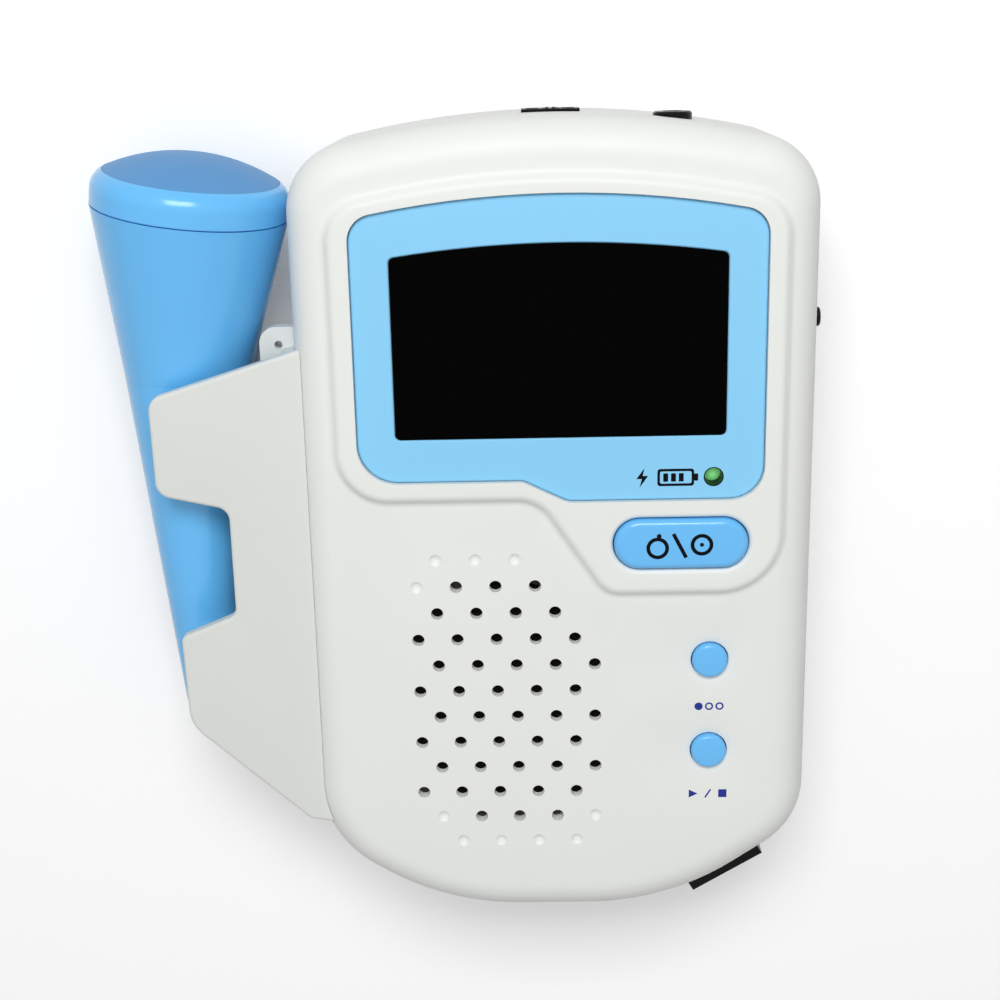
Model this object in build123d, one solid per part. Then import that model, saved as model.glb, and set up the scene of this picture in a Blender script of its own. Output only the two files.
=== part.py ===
from build123d import *
import os
from math import atan2, cos, pi, radians, sin, sqrt, tan

# Fetal doppler monitor: a hand-held case with a display, a speaker and three buttons, and a
# probe that rests in a holder screwed to the case's left side. Millimetres, degrees.
# The monitor lies on its back. +X is right, +Y runs to the top end of the case, and +Z comes
# out of the front. The origin is the centre of the case's flat back face.

# ---- Case ----
CASE_WIDTH = 91.0
CASE_LENGTH = 147.6
CASE_DEPTH = 35.2
WALL = 2.2
TOP_CROWN_RADIUS = 168.0
TOP_CORNER_RADIUS = 12.0
BOTTOM_CROWN_RADIUS = 48.8
# A slope cuts each bottom corner: run along the end, rise along the side, radius at the side
BOTTOM_LEFT_RUN = 24.0
BOTTOM_LEFT_RISE = 14.7
BOTTOM_LEFT_RADIUS = 21.5
BOTTOM_RIGHT_RUN = 25.0
BOTTOM_RIGHT_RISE = 17.1
BOTTOM_RIGHT_RADIUS = 15.4
FRONT_EDGE_RADIUS = 6.5
REAR_EDGE_RADIUS = 4.0
PARTING_HEIGHT = 12.0
LIP_HEIGHT = 1.5
LIP_THICKNESS = 1.0
PARTING_GROOVE_WIDTH = 0.4
PARTING_GROOVE_DEPTH = 0.25
FIT_GAP = 0.1           # between pieces that are fixed to each other
RUNNING_GAP = 0.05      # between a shaft and its bore
CUT = 1.0               # how far a cutting form runs past the face that it opens

LEFT = -CASE_WIDTH / 2
RIGHT = CASE_WIDTH / 2
TOP = CASE_LENGTH / 2
BOTTOM = -CASE_LENGTH / 2
FRONT_INNER = CASE_DEPTH - WALL

# ---- Raised frame, blue panel and display window on the front ----
FRAME_HEIGHT = 1.3
FRAME_DRAFT = 45.0           # lean of the frame's side walls
FRAME_EDGE_RADIUS = 1.6
FRAME_FOOT_RADIUS = 1.6
FRAME_WALL_INSET = 0.65      # from the frame's outline in to the top of its leaning wall
FRAME_MARGIN_LEFT = 7.2
FRAME_MARGIN_RIGHT = 5.9
FRAME_MARGIN_TOP = 9.5
FRAME_MARGIN_BOTTOM = 64.6   # from the case's bottom end to the lower edge at the right
FRAME_STEP_DROP = 17.6       # from the lower edge at the left to the one at the right
FRAME_CROWN_RADIUS = 156.0
FRAME_STEP_FOOT = 31.0       # from the right edge to the foot of the slanted step
FRAME_STEP_RUN = 11.8
FRAME_CORNER_RADII = (9.0, 7.0, 5.0, 11.0, 7.0)
PANEL_THICKNESS = 1.0
PANEL_RECESS = 0.8
PANEL_EDGE = 0.5
PANEL_WINDOW_EDGE = 0.2
PANEL_BORDER_LEFT = 3.8
PANEL_BORDER_RIGHT = 3.5
PANEL_BORDER_TOP = 2.9
PANEL_BORDER_BOTTOM = 3.5
PANEL_CROWN_RADIUS = 170.0
PANEL_STEP_FOOT = 34.1
PANEL_STEP_RUN = 7.8
PANEL_STEP_DROP = 3.8
PANEL_CORNER_RADII = (7.0, 3.0, 4.0, 6.0, 4.7)
WINDOW_BORDER_SIDE = 6.7
WINDOW_BORDER_TOP = 8.3
WINDOW_BORDER_BOTTOM = 7.7   # from the panel's lower edge at the left
WINDOW_CROWN_RADIUS = 196.0
WINDOW_CORNER_RADIUS = 1.0
WINDOW_SINK = 0.15
WINDOW_LEDGE = 2.0

FRAME_LEFT = LEFT + FRAME_MARGIN_LEFT
FRAME_RIGHT = RIGHT - FRAME_MARGIN_RIGHT
FRAME_TOP = TOP - FRAME_MARGIN_TOP
FRAME_BOTTOM = BOTTOM + FRAME_MARGIN_BOTTOM
FRAME_LOWER_LEFT = FRAME_BOTTOM + FRAME_STEP_DROP
FRAME_FRONT = CASE_DEPTH + FRAME_HEIGHT
PANEL_LEFT = FRAME_LEFT + PANEL_BORDER_LEFT
PANEL_RIGHT = FRAME_RIGHT - PANEL_BORDER_RIGHT
PANEL_TOP = FRAME_TOP - PANEL_BORDER_TOP
PANEL_LOWER_LEFT = FRAME_LOWER_LEFT + PANEL_BORDER_BOTTOM
PANEL_BOTTOM = PANEL_LOWER_LEFT - PANEL_STEP_DROP
PANEL_FRONT = FRAME_FRONT - PANEL_RECESS
PANEL_BACK = PANEL_FRONT - PANEL_THICKNESS
WINDOW_LEFT = PANEL_LEFT + WINDOW_BORDER_SIDE
WINDOW_RIGHT = PANEL_RIGHT - WINDOW_BORDER_SIDE
WINDOW_TOP = PANEL_TOP - WINDOW_BORDER_TOP
WINDOW_BOTTOM = PANEL_LOWER_LEFT + WINDOW_BORDER_BOTTOM
WINDOW_X = (WINDOW_LEFT + WINDOW_RIGHT) / 2
WINDOW_Y = (WINDOW_BOTTOM + WINDOW_TOP) / 2

# ---- Buttons and charge light ----
BUTTON_GAP = 0.2
BUTTON_TRAVEL = 0.6
BUTTON_FLANGE = 1.2
BUTTON_FLANGE_THICKNESS = 1.2
BUTTON_FLANGE_GAP = 0.2
BUTTON_STEM_RADIUS = 1.7
POWER_WIDTH = 23.6
POWER_LENGTH = 9.1
POWER_STANDOUT = 0.7
POWER_EDGE_RADIUS = 1.2
POWER_RIM_RADIUS = 0.9       # round the button's opening in the frame
POWER_FROM_FRAME_RIGHT = 17.8
POWER_FROM_FRAME_BOTTOM = 9.35
ROUND_RADIUS = 3.2
ROUND_RIM_STANDOUT = 0.35
ROUND_EDGE_RADIUS = 0.7
ROUND_DOME = 0.15
ROUND_DISH_WIDTH = 1.3       # shallow dish in the case round each button
ROUND_DISH_DEPTH = 0.3
ROUND_FROM_RIGHT = 18.25
START_FROM_BOTTOM = 33.8
MODE_FROM_START = 17.75
LIGHT_RADIUS = 1.5
LIGHT_HOLE_RADIUS = 1.75
SLEEVE_OUTER_RADIUS = 1.7
SLEEVE_INNER_RADIUS = 1.54
SLEEVE_SINK = 0.1            # below the panel's face
LIGHT_FROM_PANEL_RIGHT = 8.7
LIGHT_FROM_PANEL_BOTTOM = 4.0
LIGHT_LENGTH = 5.0
LIGHT_SINK = 1.9             # below the panel's face
LIGHT_FLANGE = 0.3
LIGHT_FLANGE_THICKNESS = 0.8
LIGHT_LEG_RADIUS = 0.25
LIGHT_LEG_PITCH = 1.8

POWER_X = FRAME_RIGHT - POWER_FROM_FRAME_RIGHT
POWER_Y = FRAME_BOTTOM + POWER_FROM_FRAME_BOTTOM
ROUND_X = RIGHT - ROUND_FROM_RIGHT
START_Y = BOTTOM + START_FROM_BOTTOM
MODE_Y = START_Y + MODE_FROM_START
LIGHT_X = PANEL_RIGHT - LIGHT_FROM_PANEL_RIGHT
LIGHT_Y = PANEL_BOTTOM + LIGHT_FROM_PANEL_BOTTOM

# ---- Circuit board, switches and display module ----
BOARD_THICKNESS = 1.6
BOARD_EDGE_GAP = 3.3
BOARD_COLUMN_GAP = 2.5       # from the board to the screw columns in the case's upper corners
BOARD_SPEAKER_GAP_Y = 2.3
BOARD_SPEAKER_GAP_X = 1.8
BOARD_BELOW_START = 5.5
BOARD_WALL_GAP = 1.0         # from the board's tongue to the top wall
BOARD_SCREW_FROM_SIDE = 8.5
BOARD_SCREW_FROM_EDGE = 5.0
BOARD_SCREW_ABOVE_START = 4.5
BOARD_SCREW_HEAD_RADIUS = 2.2
BOARD_SCREW_HEAD_HEIGHT = 1.5
BOARD_SCREW_RADIUS = 1.0
BOARD_SCREW_LENGTH = 8.0
BOARD_BOSS_RADIUS = 2.8
SWITCH_SIDE = 6.0
SWITCH_HEIGHT = 3.6
PLUNGER_RADIUS = 1.7
PLUNGER_LENGTH = 3.2
PLUNGER_STANDOUT = 1.2
PLUNGER_FLOOR_GAP = 0.2      # below the plunger when its button is fully down
MODULE_MARGIN = 3.0
MODULE_THICKNESS = 4.6
MODULE_BOARD_THICKNESS = 1.6
MODULE_BOARD_MARGIN = 0.8
MODULE_VIEW_MARGIN = 0.5
MODULE_VIEW_DEPTH = 0.5
GASKET_THICKNESS = 0.4
GASKET_WIDTH = 1.6
HEADER_WIDTH = 30.0
HEADER_DEPTH = 2.5
HEADER_HEIGHT = 4.4
# Chips on the back of the board, from its lower left corner: (right, up, width, length, height)
CHIPS = [
    (26.0, 11.0, 12.0, 12.0, 1.6),
    (46.0, 9.0, 6.0, 5.0, 1.5),
    (58.0, 11.0, 4.0, 10.0, 1.8),
]
CAPACITOR_RADIUS = 3.2
CAPACITOR_HEIGHT = 7.0
CAPACITOR_PITCH = 8.0

MODULE_TOP = FRONT_INNER - GASKET_THICKNESS
MODULE_BOTTOM = MODULE_TOP - MODULE_THICKNESS
BOARD_TOP = MODULE_BOTTOM - HEADER_HEIGHT
BOARD_BOTTOM = BOARD_TOP - BOARD_THICKNESS
SWITCH_TOP = BOARD_TOP + SWITCH_HEIGHT
PLUNGER_TOP = SWITCH_TOP + PLUNGER_STANDOUT
FLANGE_TOP = FRONT_INNER - BUTTON_FLANGE_GAP
FLANGE_BOTTOM = FLANGE_TOP - BUTTON_FLANGE_THICKNESS

# ---- Speaker and its holes ----
SPEAKER_RADIUS = 25.0
SPEAKER_FROM_LEFT = 36.2
SPEAKER_FROM_BOTTOM = 43.5
SPEAKER_GASKET_THICKNESS = 0.8
SPEAKER_FLANGE_WIDTH = 2.2
SPEAKER_FLANGE_THICKNESS = 1.5
SPEAKER_DEPTH = 13.7
SPEAKER_SHEET = 1.0
SPEAKER_NECK_RADIUS = 13.5
SPEAKER_RIM_HEIGHT = 3.5
SPEAKER_RIM_WALL = 1.5
COIL_RADIUS = 6.5
COIL_WALL = 0.4
COIL_GAP = 0.5
CONE_DEPTH = 7.0
CONE_SHEET = 0.6
CONE_ROLL_WIDTH = 1.4
CONE_ROLL_DEPTH = 0.9
CONE_RIM_SINK = 0.4
DUST_CAP_HEIGHT = 1.4
MAGNET_RADIUS = 12.5
MAGNET_THICKNESS = 7.5
MAGNET_CHAMFER = 0.8
HOLE_RADIUS = 1.1
HOLE_PITCH_X = 7.06
HOLE_PITCH_Y = 5.02
GRILLE_THICKNESS = 1.65
GRILLE_GAP = 0.3             # from the thinned wall's edge to the speaker's gasket
CLOTH_THICKNESS = 0.25
DIMPLE_DEPTH = 0.45
# Half pitches from the middle column, row by row from the top: (row, holes, dimples)
HOLE_ROWS = [
    (-1, (), (-3, -1, 1)),
    (0, (-2, 0, 2), (-4,)),
    (1, (-3, -1, 1, 3), ()),
    (2, (-4, -2, 0, 2, 4), ()),
    (3, (-3, -1, 1, 3, 5), ()),
    (4, (-4, -2, 0, 2, 4), ()),
    (5, (-3, -1, 1, 3, 5), ()),
    (6, (-4, -2, 0, 2, 4), ()),
    (7, (-3, -1, 1, 3, 5), ()),
    (8, (-4, -2, 0, 2, 4), ()),
    (9, (-1, 1, 3), (-3, 5)),
    (10, (), (-2, 0, 2, 4)),
]
HOLE_MIDDLE_ROW = 4.5
HOLE_COLUMN_SHIFT = -1.8     # from the speaker's axis to the middle column

SPEAKER_X = LEFT + SPEAKER_FROM_LEFT
SPEAKER_Y = BOTTOM + SPEAKER_FROM_BOTTOM
SPEAKER_FRONT = FRONT_INNER - SPEAKER_GASKET_THICKNESS
SPEAKER_BACK = SPEAKER_FRONT - SPEAKER_DEPTH
GRILLE_BACK = CASE_DEPTH - GRILLE_THICKNESS
GRILLE_RADIUS = SPEAKER_RADIUS - SPEAKER_FLANGE_WIDTH - GRILLE_GAP
BOARD_SIDE = WALL + BOARD_EDGE_GAP
BOARD_SHOULDER_BOTTOM = SPEAKER_Y + SPEAKER_RADIUS + BOARD_SPEAKER_GAP_Y
BOARD_STRIP_LEFT = SPEAKER_X + SPEAKER_RADIUS + BOARD_SPEAKER_GAP_X
BOARD_STRIP_BOTTOM = START_Y - BOARD_BELOW_START

# ---- Battery bay, cells and door in the rear shell ----
CELL_RADIUS = 7.25
CELL_LENGTH = 50.5
CELL_COUNT = 3
CELL_PITCH = 14.6
CELL_BUTTON_RADIUS = 2.7
CELL_BUTTON_HEIGHT = 1.0
CONTACT_DEPTH = 2.75
CONTACT_SHEET = 0.5
CONTACT_PLATE = 9.0
CONTACT_STUD_RADIUS = 2.4
CONTACT_SPRING_RADIUS = 3.2
CONTACT_GAP = 0.05
BAY_FROM_TOP = 43.3
BAY_WALL = 1.5
BAY_CEILING = 1.2
BAY_SIDE_GAP = 0.25
BAY_END_GAP = 0.25
CELL_FLOOR_GAP = 0.5
DOOR_THICKNESS = 1.8
DOOR_SINK = 0.3
DOOR_GAP = 0.3
TAB_X = 12.0
TAB_WIDTH = 6.0
TAB_THICKNESS = 1.2
TAB_REACH = 3.0
TAB_LIFT = 0.4
TAB_ROOT = 2.0
TAB_NECK = 1.0
TAB_SLOT_ROOM = 0.4
LATCH_FROM_EDGE = 0.4
LATCH_WIDTH = 10.0
LATCH_HEIGHT = 2.5
LATCH_THICKNESS = 1.2
GRIP_COUNT = 4
GRIP_LENGTH = 16.0
GRIP_FROM_EDGE = 3.0
GRIP_PITCH = 2.0
GRIP_WIDTH = 0.8
GRIP_DEPTH = 0.5

BAY_Y = TOP - BAY_FROM_TOP
BAY_HALF_X = CELL_LENGTH / 2 + CONTACT_DEPTH + BAY_END_GAP
BAY_HALF_Y = (CELL_COUNT - 1) * CELL_PITCH / 2 + CELL_RADIUS + BAY_SIDE_GAP
BAY_TOP = BAY_Y + BAY_HALF_Y
BAY_BOTTOM = BAY_Y - BAY_HALF_Y
CELL_Z = WALL + CELL_FLOOR_GAP + CELL_RADIUS
BAY_ROOF = CELL_Z + CELL_RADIUS + CELL_FLOOR_GAP
DOOR_TOP_Z = DOOR_SINK + DOOR_THICKNESS
DOOR_HINGE_Y = BAY_TOP - DOOR_GAP

# ---- Volume wheel and headphone jack in the top end ----
WHEEL_RADIUS = 8.0
WHEEL_THICKNESS = 2.6
WHEEL_STANDOUT = 0.7
WHEEL_GAP = 0.4
WHEEL_BELOW_BOARD = 5.8
WHEEL_CHAMFER = 0.2
WHEEL_TEETH = 40
KNURL_RADIUS = 0.3
WHEEL_SHAFT_RADIUS = 1.5
WHEEL_SHAFT_LENGTH = 2.0
POT_WIDTH = 11.0
POT_GAP = 0.3                # from the potentiometer to the wheel and to its shaft's end
POT_WALL_GAP = 1.0
BEZEL_WIDTH = 10.2
BEZEL_HEIGHT = 5.0
BEZEL_STANDOUT = 0.5
BEZEL_FLANGE = 0.6
BEZEL_SLOT_WIDTH = 8.4
BEZEL_SEAT = 0.1             # how far the flange's back is cut to the wall's curve
JACK_X = 21.2
JACK_BELOW_BOARD = 3.25
JACK_BORE_RADIUS = 1.8
JACK_BORE_LENGTH = 14.0
JACK_NECK_RADIUS = 2.6
JACK_COLLAR_RADIUS = 3.4
JACK_STANDOUT = 1.0
JACK_BODY_WIDTH = 8.4
JACK_BODY_DROP = 3.5         # from the bore's axis to the body's underside
JACK_BODY_GAP = 1.2          # from the body to the top wall
JACK_BACK = 1.0
JACK_CHAMFER = 0.3

WHEEL_Y = TOP + WHEEL_STANDOUT - WHEEL_RADIUS
WHEEL_Z = BOARD_BOTTOM - WHEEL_BELOW_BOARD
JACK_Z = BOARD_BOTTOM - JACK_BELOW_BOARD
WHEEL_BOTTOM = WHEEL_Z - WHEEL_THICKNESS / 2
WHEEL_TOP = WHEEL_Z + WHEEL_THICKNESS / 2
JACK_WALL_Y = TOP - TOP_CROWN_RADIUS + sqrt(TOP_CROWN_RADIUS ** 2 - JACK_X ** 2)
JACK_FRONT_Y = JACK_WALL_Y + JACK_STANDOUT

# ---- Charging socket in the right side ----
CHARGE_FROM_TOP = 35.6
CHARGE_ABOVE_BOARD = 2.2
CHARGE_BORE_RADIUS = 1.3
CHARGE_BORE_LENGTH = 7.0
CHARGE_NECK_RADIUS = 1.7
CHARGE_STANDOUT = 1.05
CHARGE_CHAMFER = 0.2
CHARGE_BODY_LENGTH = 6.0
CHARGE_BODY_WIDTH = 6.0
CHARGE_BODY_RISE = 2.4       # from the bore's axis to the body's top

CHARGE_Y = TOP - CHARGE_FROM_TOP
CHARGE_Z = BOARD_TOP + CHARGE_ABOVE_BOARD

# ---- Probe socket in the bottom end, square to the curved wall ----
SOCKET_ANGLE = 31.0
SOCKET_WIDTH = 15.3
SOCKET_HEIGHT = 9.4
SOCKET_BELOW_FRONT = 13.0
SOCKET_STANDOUT = 3.3
SOCKET_DEPTH = 9.0
SOCKET_WALL = 1.35
SOCKET_CAVITY_DEPTH = 10.0
LINER_SHEET = 0.3
LINER_STANDOUT = 0.2
CONTACT_COUNT = 6
CONTACT_PITCH = 1.27
CONTACT_WIDTH = 0.5
CONTACT_HEIGHT = 0.3
CONTACT_LENGTH = 7.0
CONTACT_LIFT = 0.02

SOCKET_Z = CASE_DEPTH - SOCKET_BELOW_FRONT

# ---- Case screws ----
SCREW_COLUMN_RADIUS = 3.5
SCREW_HEAD_RADIUS = 2.7
SCREW_HEAD_HEIGHT = 2.2
SCREW_RADIUS = 1.4
SCREW_LENGTH = 20.0
SCREW_SEAT = 4.0
SCREW_FROM_SIDE = 7.8
SCREW_FROM_TOP = 14.8
LOWER_SCREW_FROM_SIDE = 8.5
SCREW_FROM_BOTTOM = 23.8
SCREW_CROSS_WIDTH = 0.7
SCREW_CROSS_LENGTH = 3.0
SCREW_CROSS_DEPTH = 1.0

CASE_SCREWS = [
    (LEFT + SCREW_FROM_SIDE, TOP - SCREW_FROM_TOP),
    (RIGHT - SCREW_FROM_SIDE, TOP - SCREW_FROM_TOP),
    (LEFT + LOWER_SCREW_FROM_SIDE, BOTTOM + SCREW_FROM_BOTTOM),
    (RIGHT - LOWER_SCREW_FROM_SIDE, BOTTOM + SCREW_FROM_BOTTOM),
]
BOARD_SHOULDER_TOP = TOP - SCREW_FROM_TOP - SCREW_COLUMN_RADIUS - BOARD_COLUMN_GAP
BOARD_SCREWS = [
    (LEFT + BOARD_SCREW_FROM_SIDE, BOARD_SHOULDER_TOP - BOARD_SCREW_FROM_EDGE),
    (RIGHT - BOARD_SCREW_FROM_SIDE, BOARD_SHOULDER_TOP - BOARD_SCREW_FROM_EDGE),
    (LEFT + BOARD_SCREW_FROM_SIDE, BOARD_SHOULDER_BOTTOM + BOARD_SCREW_FROM_EDGE),
    (RIGHT - BOARD_SCREW_FROM_SIDE, START_Y + BOARD_SCREW_ABOVE_START),
]

# ---- Probe: a conical handle with an oblique flared neck and a tilted head ----
PROBE_FROM_CASE = 22.0       # from the case's left side to the middle of the probe's tail
PROBE_TAIL_FROM_BOTTOM = 37.0    # from the case's bottom end to the probe's tail
PROBE_LEAN = 0.5             # towards the case, in the plane of the back
PROBE_WALL = 1.8
HANDLE_LENGTH = 65.0
HANDLE_TAIL_RADIUS = 4.4
HANDLE_NECK_RADIUS = 11.4
HANDLE_TAIL_EDGE = 1.6
NECK_LENGTH = 30.0
HEAD_RADIUS = 17.45
HEAD_OFFSET = 2.95
HEAD_TILT = 8.9
HEAD_TURN = 32.0             # how far the lean of the head turns from the case to the front
HEAD_HEIGHT = 6.2
HEAD_SHOULDER = 3.4          # height of the rounded part of the rim
FACE_RADIUS = 15.4
FACE_THICKNESS = 1.7
FACE_LEDGE_WIDTH = 1.4
FACE_LEDGE_THICKNESS = 1.2
SEAM_GAP = 0.15
CRYSTAL_RADIUS = 9.0
CRYSTAL_THICKNESS = 1.2
CRYSTAL_GAP = 1.0
BACKING_THICKNESS = 6.0
BACKING_RADIUS = 13.8
PROBE_BOARD_WIDTH = 12.4
PROBE_BOARD_START = 40.0
PROBE_BOARD_LENGTH = 40.0
PROBE_BOARD_THICKNESS = 1.2
GLAND_RADIUS = 2.6
GLAND_BORE_RADIUS = 1.5
GLAND_LENGTH = 6.0
GLAND_STANDOUT = 2.0
GLAND_EDGE_RADIUS = 0.5
PROBE_CLEARANCE = 0.4

# ---- Probe holder on the case's left side ----
HOLDER_BACK = 1.6
HOLDER_BELOW_FRONT = 2.2     # from the case's front to the holder's front plate
HOLDER_PLATE = 2.4
HOLDER_WEB = 2.4
HOLDER_EDGE = 0.7
RIB_THICKNESS = 2.2
EAR_BELOW_FRONT = 13.2
EAR_THICKNESS = 3.0
EAR_REACH = 6.8              # from the case's left side
EAR_CORNER_RADIUS = 3.0
EAR_HOLE_RADIUS = 0.7
EAR_HOLE_FROM_SIDE = 3.4
EAR_HOLE_FROM_TOP = 3.2
HOLDER_SCREW_BELOW_PARTING = 5.0
HOLDER_SCREW_LENGTH = 10.0
HOLDER_BOSS_RADIUS = 3.2
HOLDER_BOSS_LENGTH = 7.5
# Places along the case, measured up from the probe's tail
RIB_PLACES = [61.2, 47.8, 16.2, 3.8]
HOLDER_SCREW_PLACES = [54.8, -5.2]
EAR_SPAN = (62.8, 74.8)
# Front view of the holder, anticlockwise from the upper left: out from the case's left side,
# up from the probe's tail, corner radius. The case itself trims the right edge.
HOLDER_CORNERS = [
    (25.8, 63.7, 3.0),
    (25.6, 46.2, 3.0),
    (12.9, 43.4, 2.5),
    (12.9, 23.5, 2.0),
    (23.2, 19.3, 1.6),
    (22.8, 1.9, 7.0),
    (1.4, -17.5, 1.5),
    (-3.5, -18.2, 0.5),
    (-3.5, 72.8, 0.5),
    (-0.3, 71.8, 2.0),
]

PROBE_X = LEFT - PROBE_FROM_CASE
PROBE_TAIL_Y = BOTTOM + PROBE_TAIL_FROM_BOTTOM
FACE_SLOPE = pi / 2 - 2 * atan2(HEAD_RADIUS - FACE_RADIUS, HEAD_SHOULDER)
FACE_DOME = FACE_RADIUS * tan(FACE_SLOPE / 2)
HOLDER_FRONT = CASE_DEPTH - HOLDER_BELOW_FRONT
PROBE_Z = (HOLDER_BACK + HOLDER_FRONT) / 2
WEB_LEFT = LEFT - HOLDER_WEB
HOLDER_SCREW_Z = PARTING_HEIGHT - HOLDER_SCREW_BELOW_PARTING
HOLDER_SCREWS_Y = [PROBE_TAIL_Y + place for place in HOLDER_SCREW_PLACES]


def sagitta(radius, half_chord):
    """Height of an arc over its chord."""
    return radius - sqrt(radius ** 2 - half_chord ** 2)


def outline(corners, crowns=None):
    """Closed face through corners (x, y, corner radius), anticlockwise.

    crowns maps a corner's index to the radius of the arc that leads on from it.
    """
    crowns = crowns or {}
    edges = []
    for index, (x, y, _) in enumerate(corners):
        end = corners[(index + 1) % len(corners)][:2]
        if index in crowns:
            edges.append(RadiusArc((x, y), end, -crowns[index]))
        else:
            edges.append(Line((x, y), end))
    face = make_face(edges)
    for x, y, radius in corners:
        face = fillet(face.vertices().sort_by_distance((x, y, 0))[0], radius)
    return face


def prism(face, bottom, top):
    """A flat outline raised between two heights."""
    return Pos(0, 0, bottom) * extrude(face, top - bottom)


def bar(x_range, y_range, z_range):
    """Box between limits on each axis."""
    size = [limits[1] - limits[0] for limits in (x_range, y_range, z_range)]
    middle = [(limits[0] + limits[1]) / 2 for limits in (x_range, y_range, z_range)]
    return Pos(*middle) * Box(*size)


def post(radius, bottom, top, x=0.0, y=0.0):
    """Upright cylinder between two heights."""
    return Pos(x, y, (bottom + top) / 2) * Cylinder(radius, top - bottom)


def dome_arc(radius, base, height):
    """Arc of a spherical cap, from its rim to its middle on the axis."""
    sphere = (radius ** 2 + height ** 2) / (2 * height)
    return RadiusArc((radius, base), (0, base + height), -sphere)


def turned(profile):
    """Solid of revolution about Z from (radius, height) points."""
    points = [*profile, profile[0]]
    return revolve(Plane.XZ * make_face(Polyline(*points)), Axis.Z)


# ---- Case outlines ----
def bottom_corners(run, rise, radius, inset):
    """Ends of the slope that cuts the bottom right corner: at the end wall and at the side."""
    slope = atan2(rise, run)
    half = CASE_WIDTH / 2
    foot = (half - run - inset * tan(slope / 2), BOTTOM + inset, BOTTOM_CROWN_RADIUS - inset)
    head = (half - inset, BOTTOM + rise + inset * tan(pi / 4 - slope / 2), radius - inset)
    return foot, head


def case_outline(inset=0.0):
    """Front view of the case, or of a wall's inner side."""
    half = CASE_WIDTH / 2 - inset
    crown = TOP_CROWN_RADIUS - inset
    shoulder = TOP - inset - sagitta(crown, half)
    left = bottom_corners(BOTTOM_LEFT_RUN, BOTTOM_LEFT_RISE, BOTTOM_LEFT_RADIUS, inset)
    right = bottom_corners(BOTTOM_RIGHT_RUN, BOTTOM_RIGHT_RISE, BOTTOM_RIGHT_RADIUS, inset)
    corners = [(-x, y, radius) for x, y, radius in reversed(left)]
    corners += [
        *right,
        (half, shoulder, TOP_CORNER_RADIUS - inset),
        (-half, shoulder, TOP_CORNER_RADIUS - inset),
    ]
    return outline(corners, {4: crown})


def case_block(inset=0.0):
    """The case's whole outer form, or its hollow when inset by a wall."""
    block = prism(case_outline(inset), inset, CASE_DEPTH - inset)
    block = fillet(block.faces().sort_by(Axis.Z)[-1].edges(), FRONT_EDGE_RADIUS - inset)
    return fillet(block.faces().sort_by(Axis.Z)[0].edges(), REAR_EDGE_RADIUS - inset)


def frame_outline():
    """Front view of the raised frame: wide above, stepped down to the power button."""
    shoulder = FRAME_TOP - sagitta(FRAME_CROWN_RADIUS, (FRAME_RIGHT - FRAME_LEFT) / 2)
    foot_x = FRAME_RIGHT - FRAME_STEP_FOOT
    upper_left, step_upper, step_lower, lower_right, upper = FRAME_CORNER_RADII
    corners = [
        (FRAME_LEFT, FRAME_LOWER_LEFT, upper_left),
        (foot_x - FRAME_STEP_RUN, FRAME_LOWER_LEFT, step_upper),
        (foot_x, FRAME_BOTTOM, step_lower),
        (FRAME_RIGHT, FRAME_BOTTOM, lower_right),
        (FRAME_RIGHT, shoulder, upper),
        (FRAME_LEFT, shoulder, upper),
    ]
    return outline(corners, {4: FRAME_CROWN_RADIUS})


def raised_frame():
    """Frame with leaning side walls, from inside the case's wall to its front."""
    start = CASE_DEPTH - WALL / 4
    height = FRAME_FRONT - start
    foot = offset(frame_outline(), height * tan(radians(FRAME_DRAFT)) - FRAME_WALL_INSET)
    return Pos(0, 0, start) * extrude(foot, height, taper=FRAME_DRAFT)


def panel_outline(grow=0.0):
    """Front view of the blue panel, or of its pocket when grown by a gap."""
    half = (PANEL_RIGHT - PANEL_LEFT) / 2 + grow
    crown = PANEL_CROWN_RADIUS + grow
    shoulder = PANEL_TOP + grow - sagitta(crown, half)
    foot_x = PANEL_RIGHT - PANEL_STEP_FOOT
    upper_left, step_upper, step_lower, lower_right, upper = PANEL_CORNER_RADII
    corners = [
        (PANEL_LEFT - grow, PANEL_LOWER_LEFT - grow, upper_left),
        (foot_x - PANEL_STEP_RUN, PANEL_LOWER_LEFT - grow, step_upper),
        (foot_x, PANEL_BOTTOM - grow, step_lower),
        (PANEL_RIGHT + grow, PANEL_BOTTOM - grow, lower_right),
        (PANEL_RIGHT + grow, shoulder, upper),
        (PANEL_LEFT - grow, shoulder, upper),
    ]
    return outline(corners, {4: crown})


def window_outline(grow=0.0):
    """Front view of the display window, grown by a gap or shrunk by a ledge."""
    half = (WINDOW_RIGHT - WINDOW_LEFT) / 2 + grow
    crown = WINDOW_CROWN_RADIUS + grow
    shoulder = WINDOW_TOP + grow - sagitta(crown, half)
    left, right = WINDOW_LEFT - grow, WINDOW_RIGHT + grow
    corners = [
        (left, WINDOW_BOTTOM - grow, WINDOW_CORNER_RADIUS),
        (right, WINDOW_BOTTOM - grow, WINDOW_CORNER_RADIUS),
        (right, shoulder, WINDOW_CORNER_RADIUS),
        (left, shoulder, WINDOW_CORNER_RADIUS),
    ]
    return outline(corners, {2: crown})


def module_outline(grow):
    """Rectangle round the window, for the display module and its gasket."""
    width = WINDOW_RIGHT - WINDOW_LEFT + 2 * grow
    length = WINDOW_TOP - WINDOW_BOTTOM + 2 * grow
    return Pos(WINDOW_X, WINDOW_Y) * Rectangle(width, length)


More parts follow.
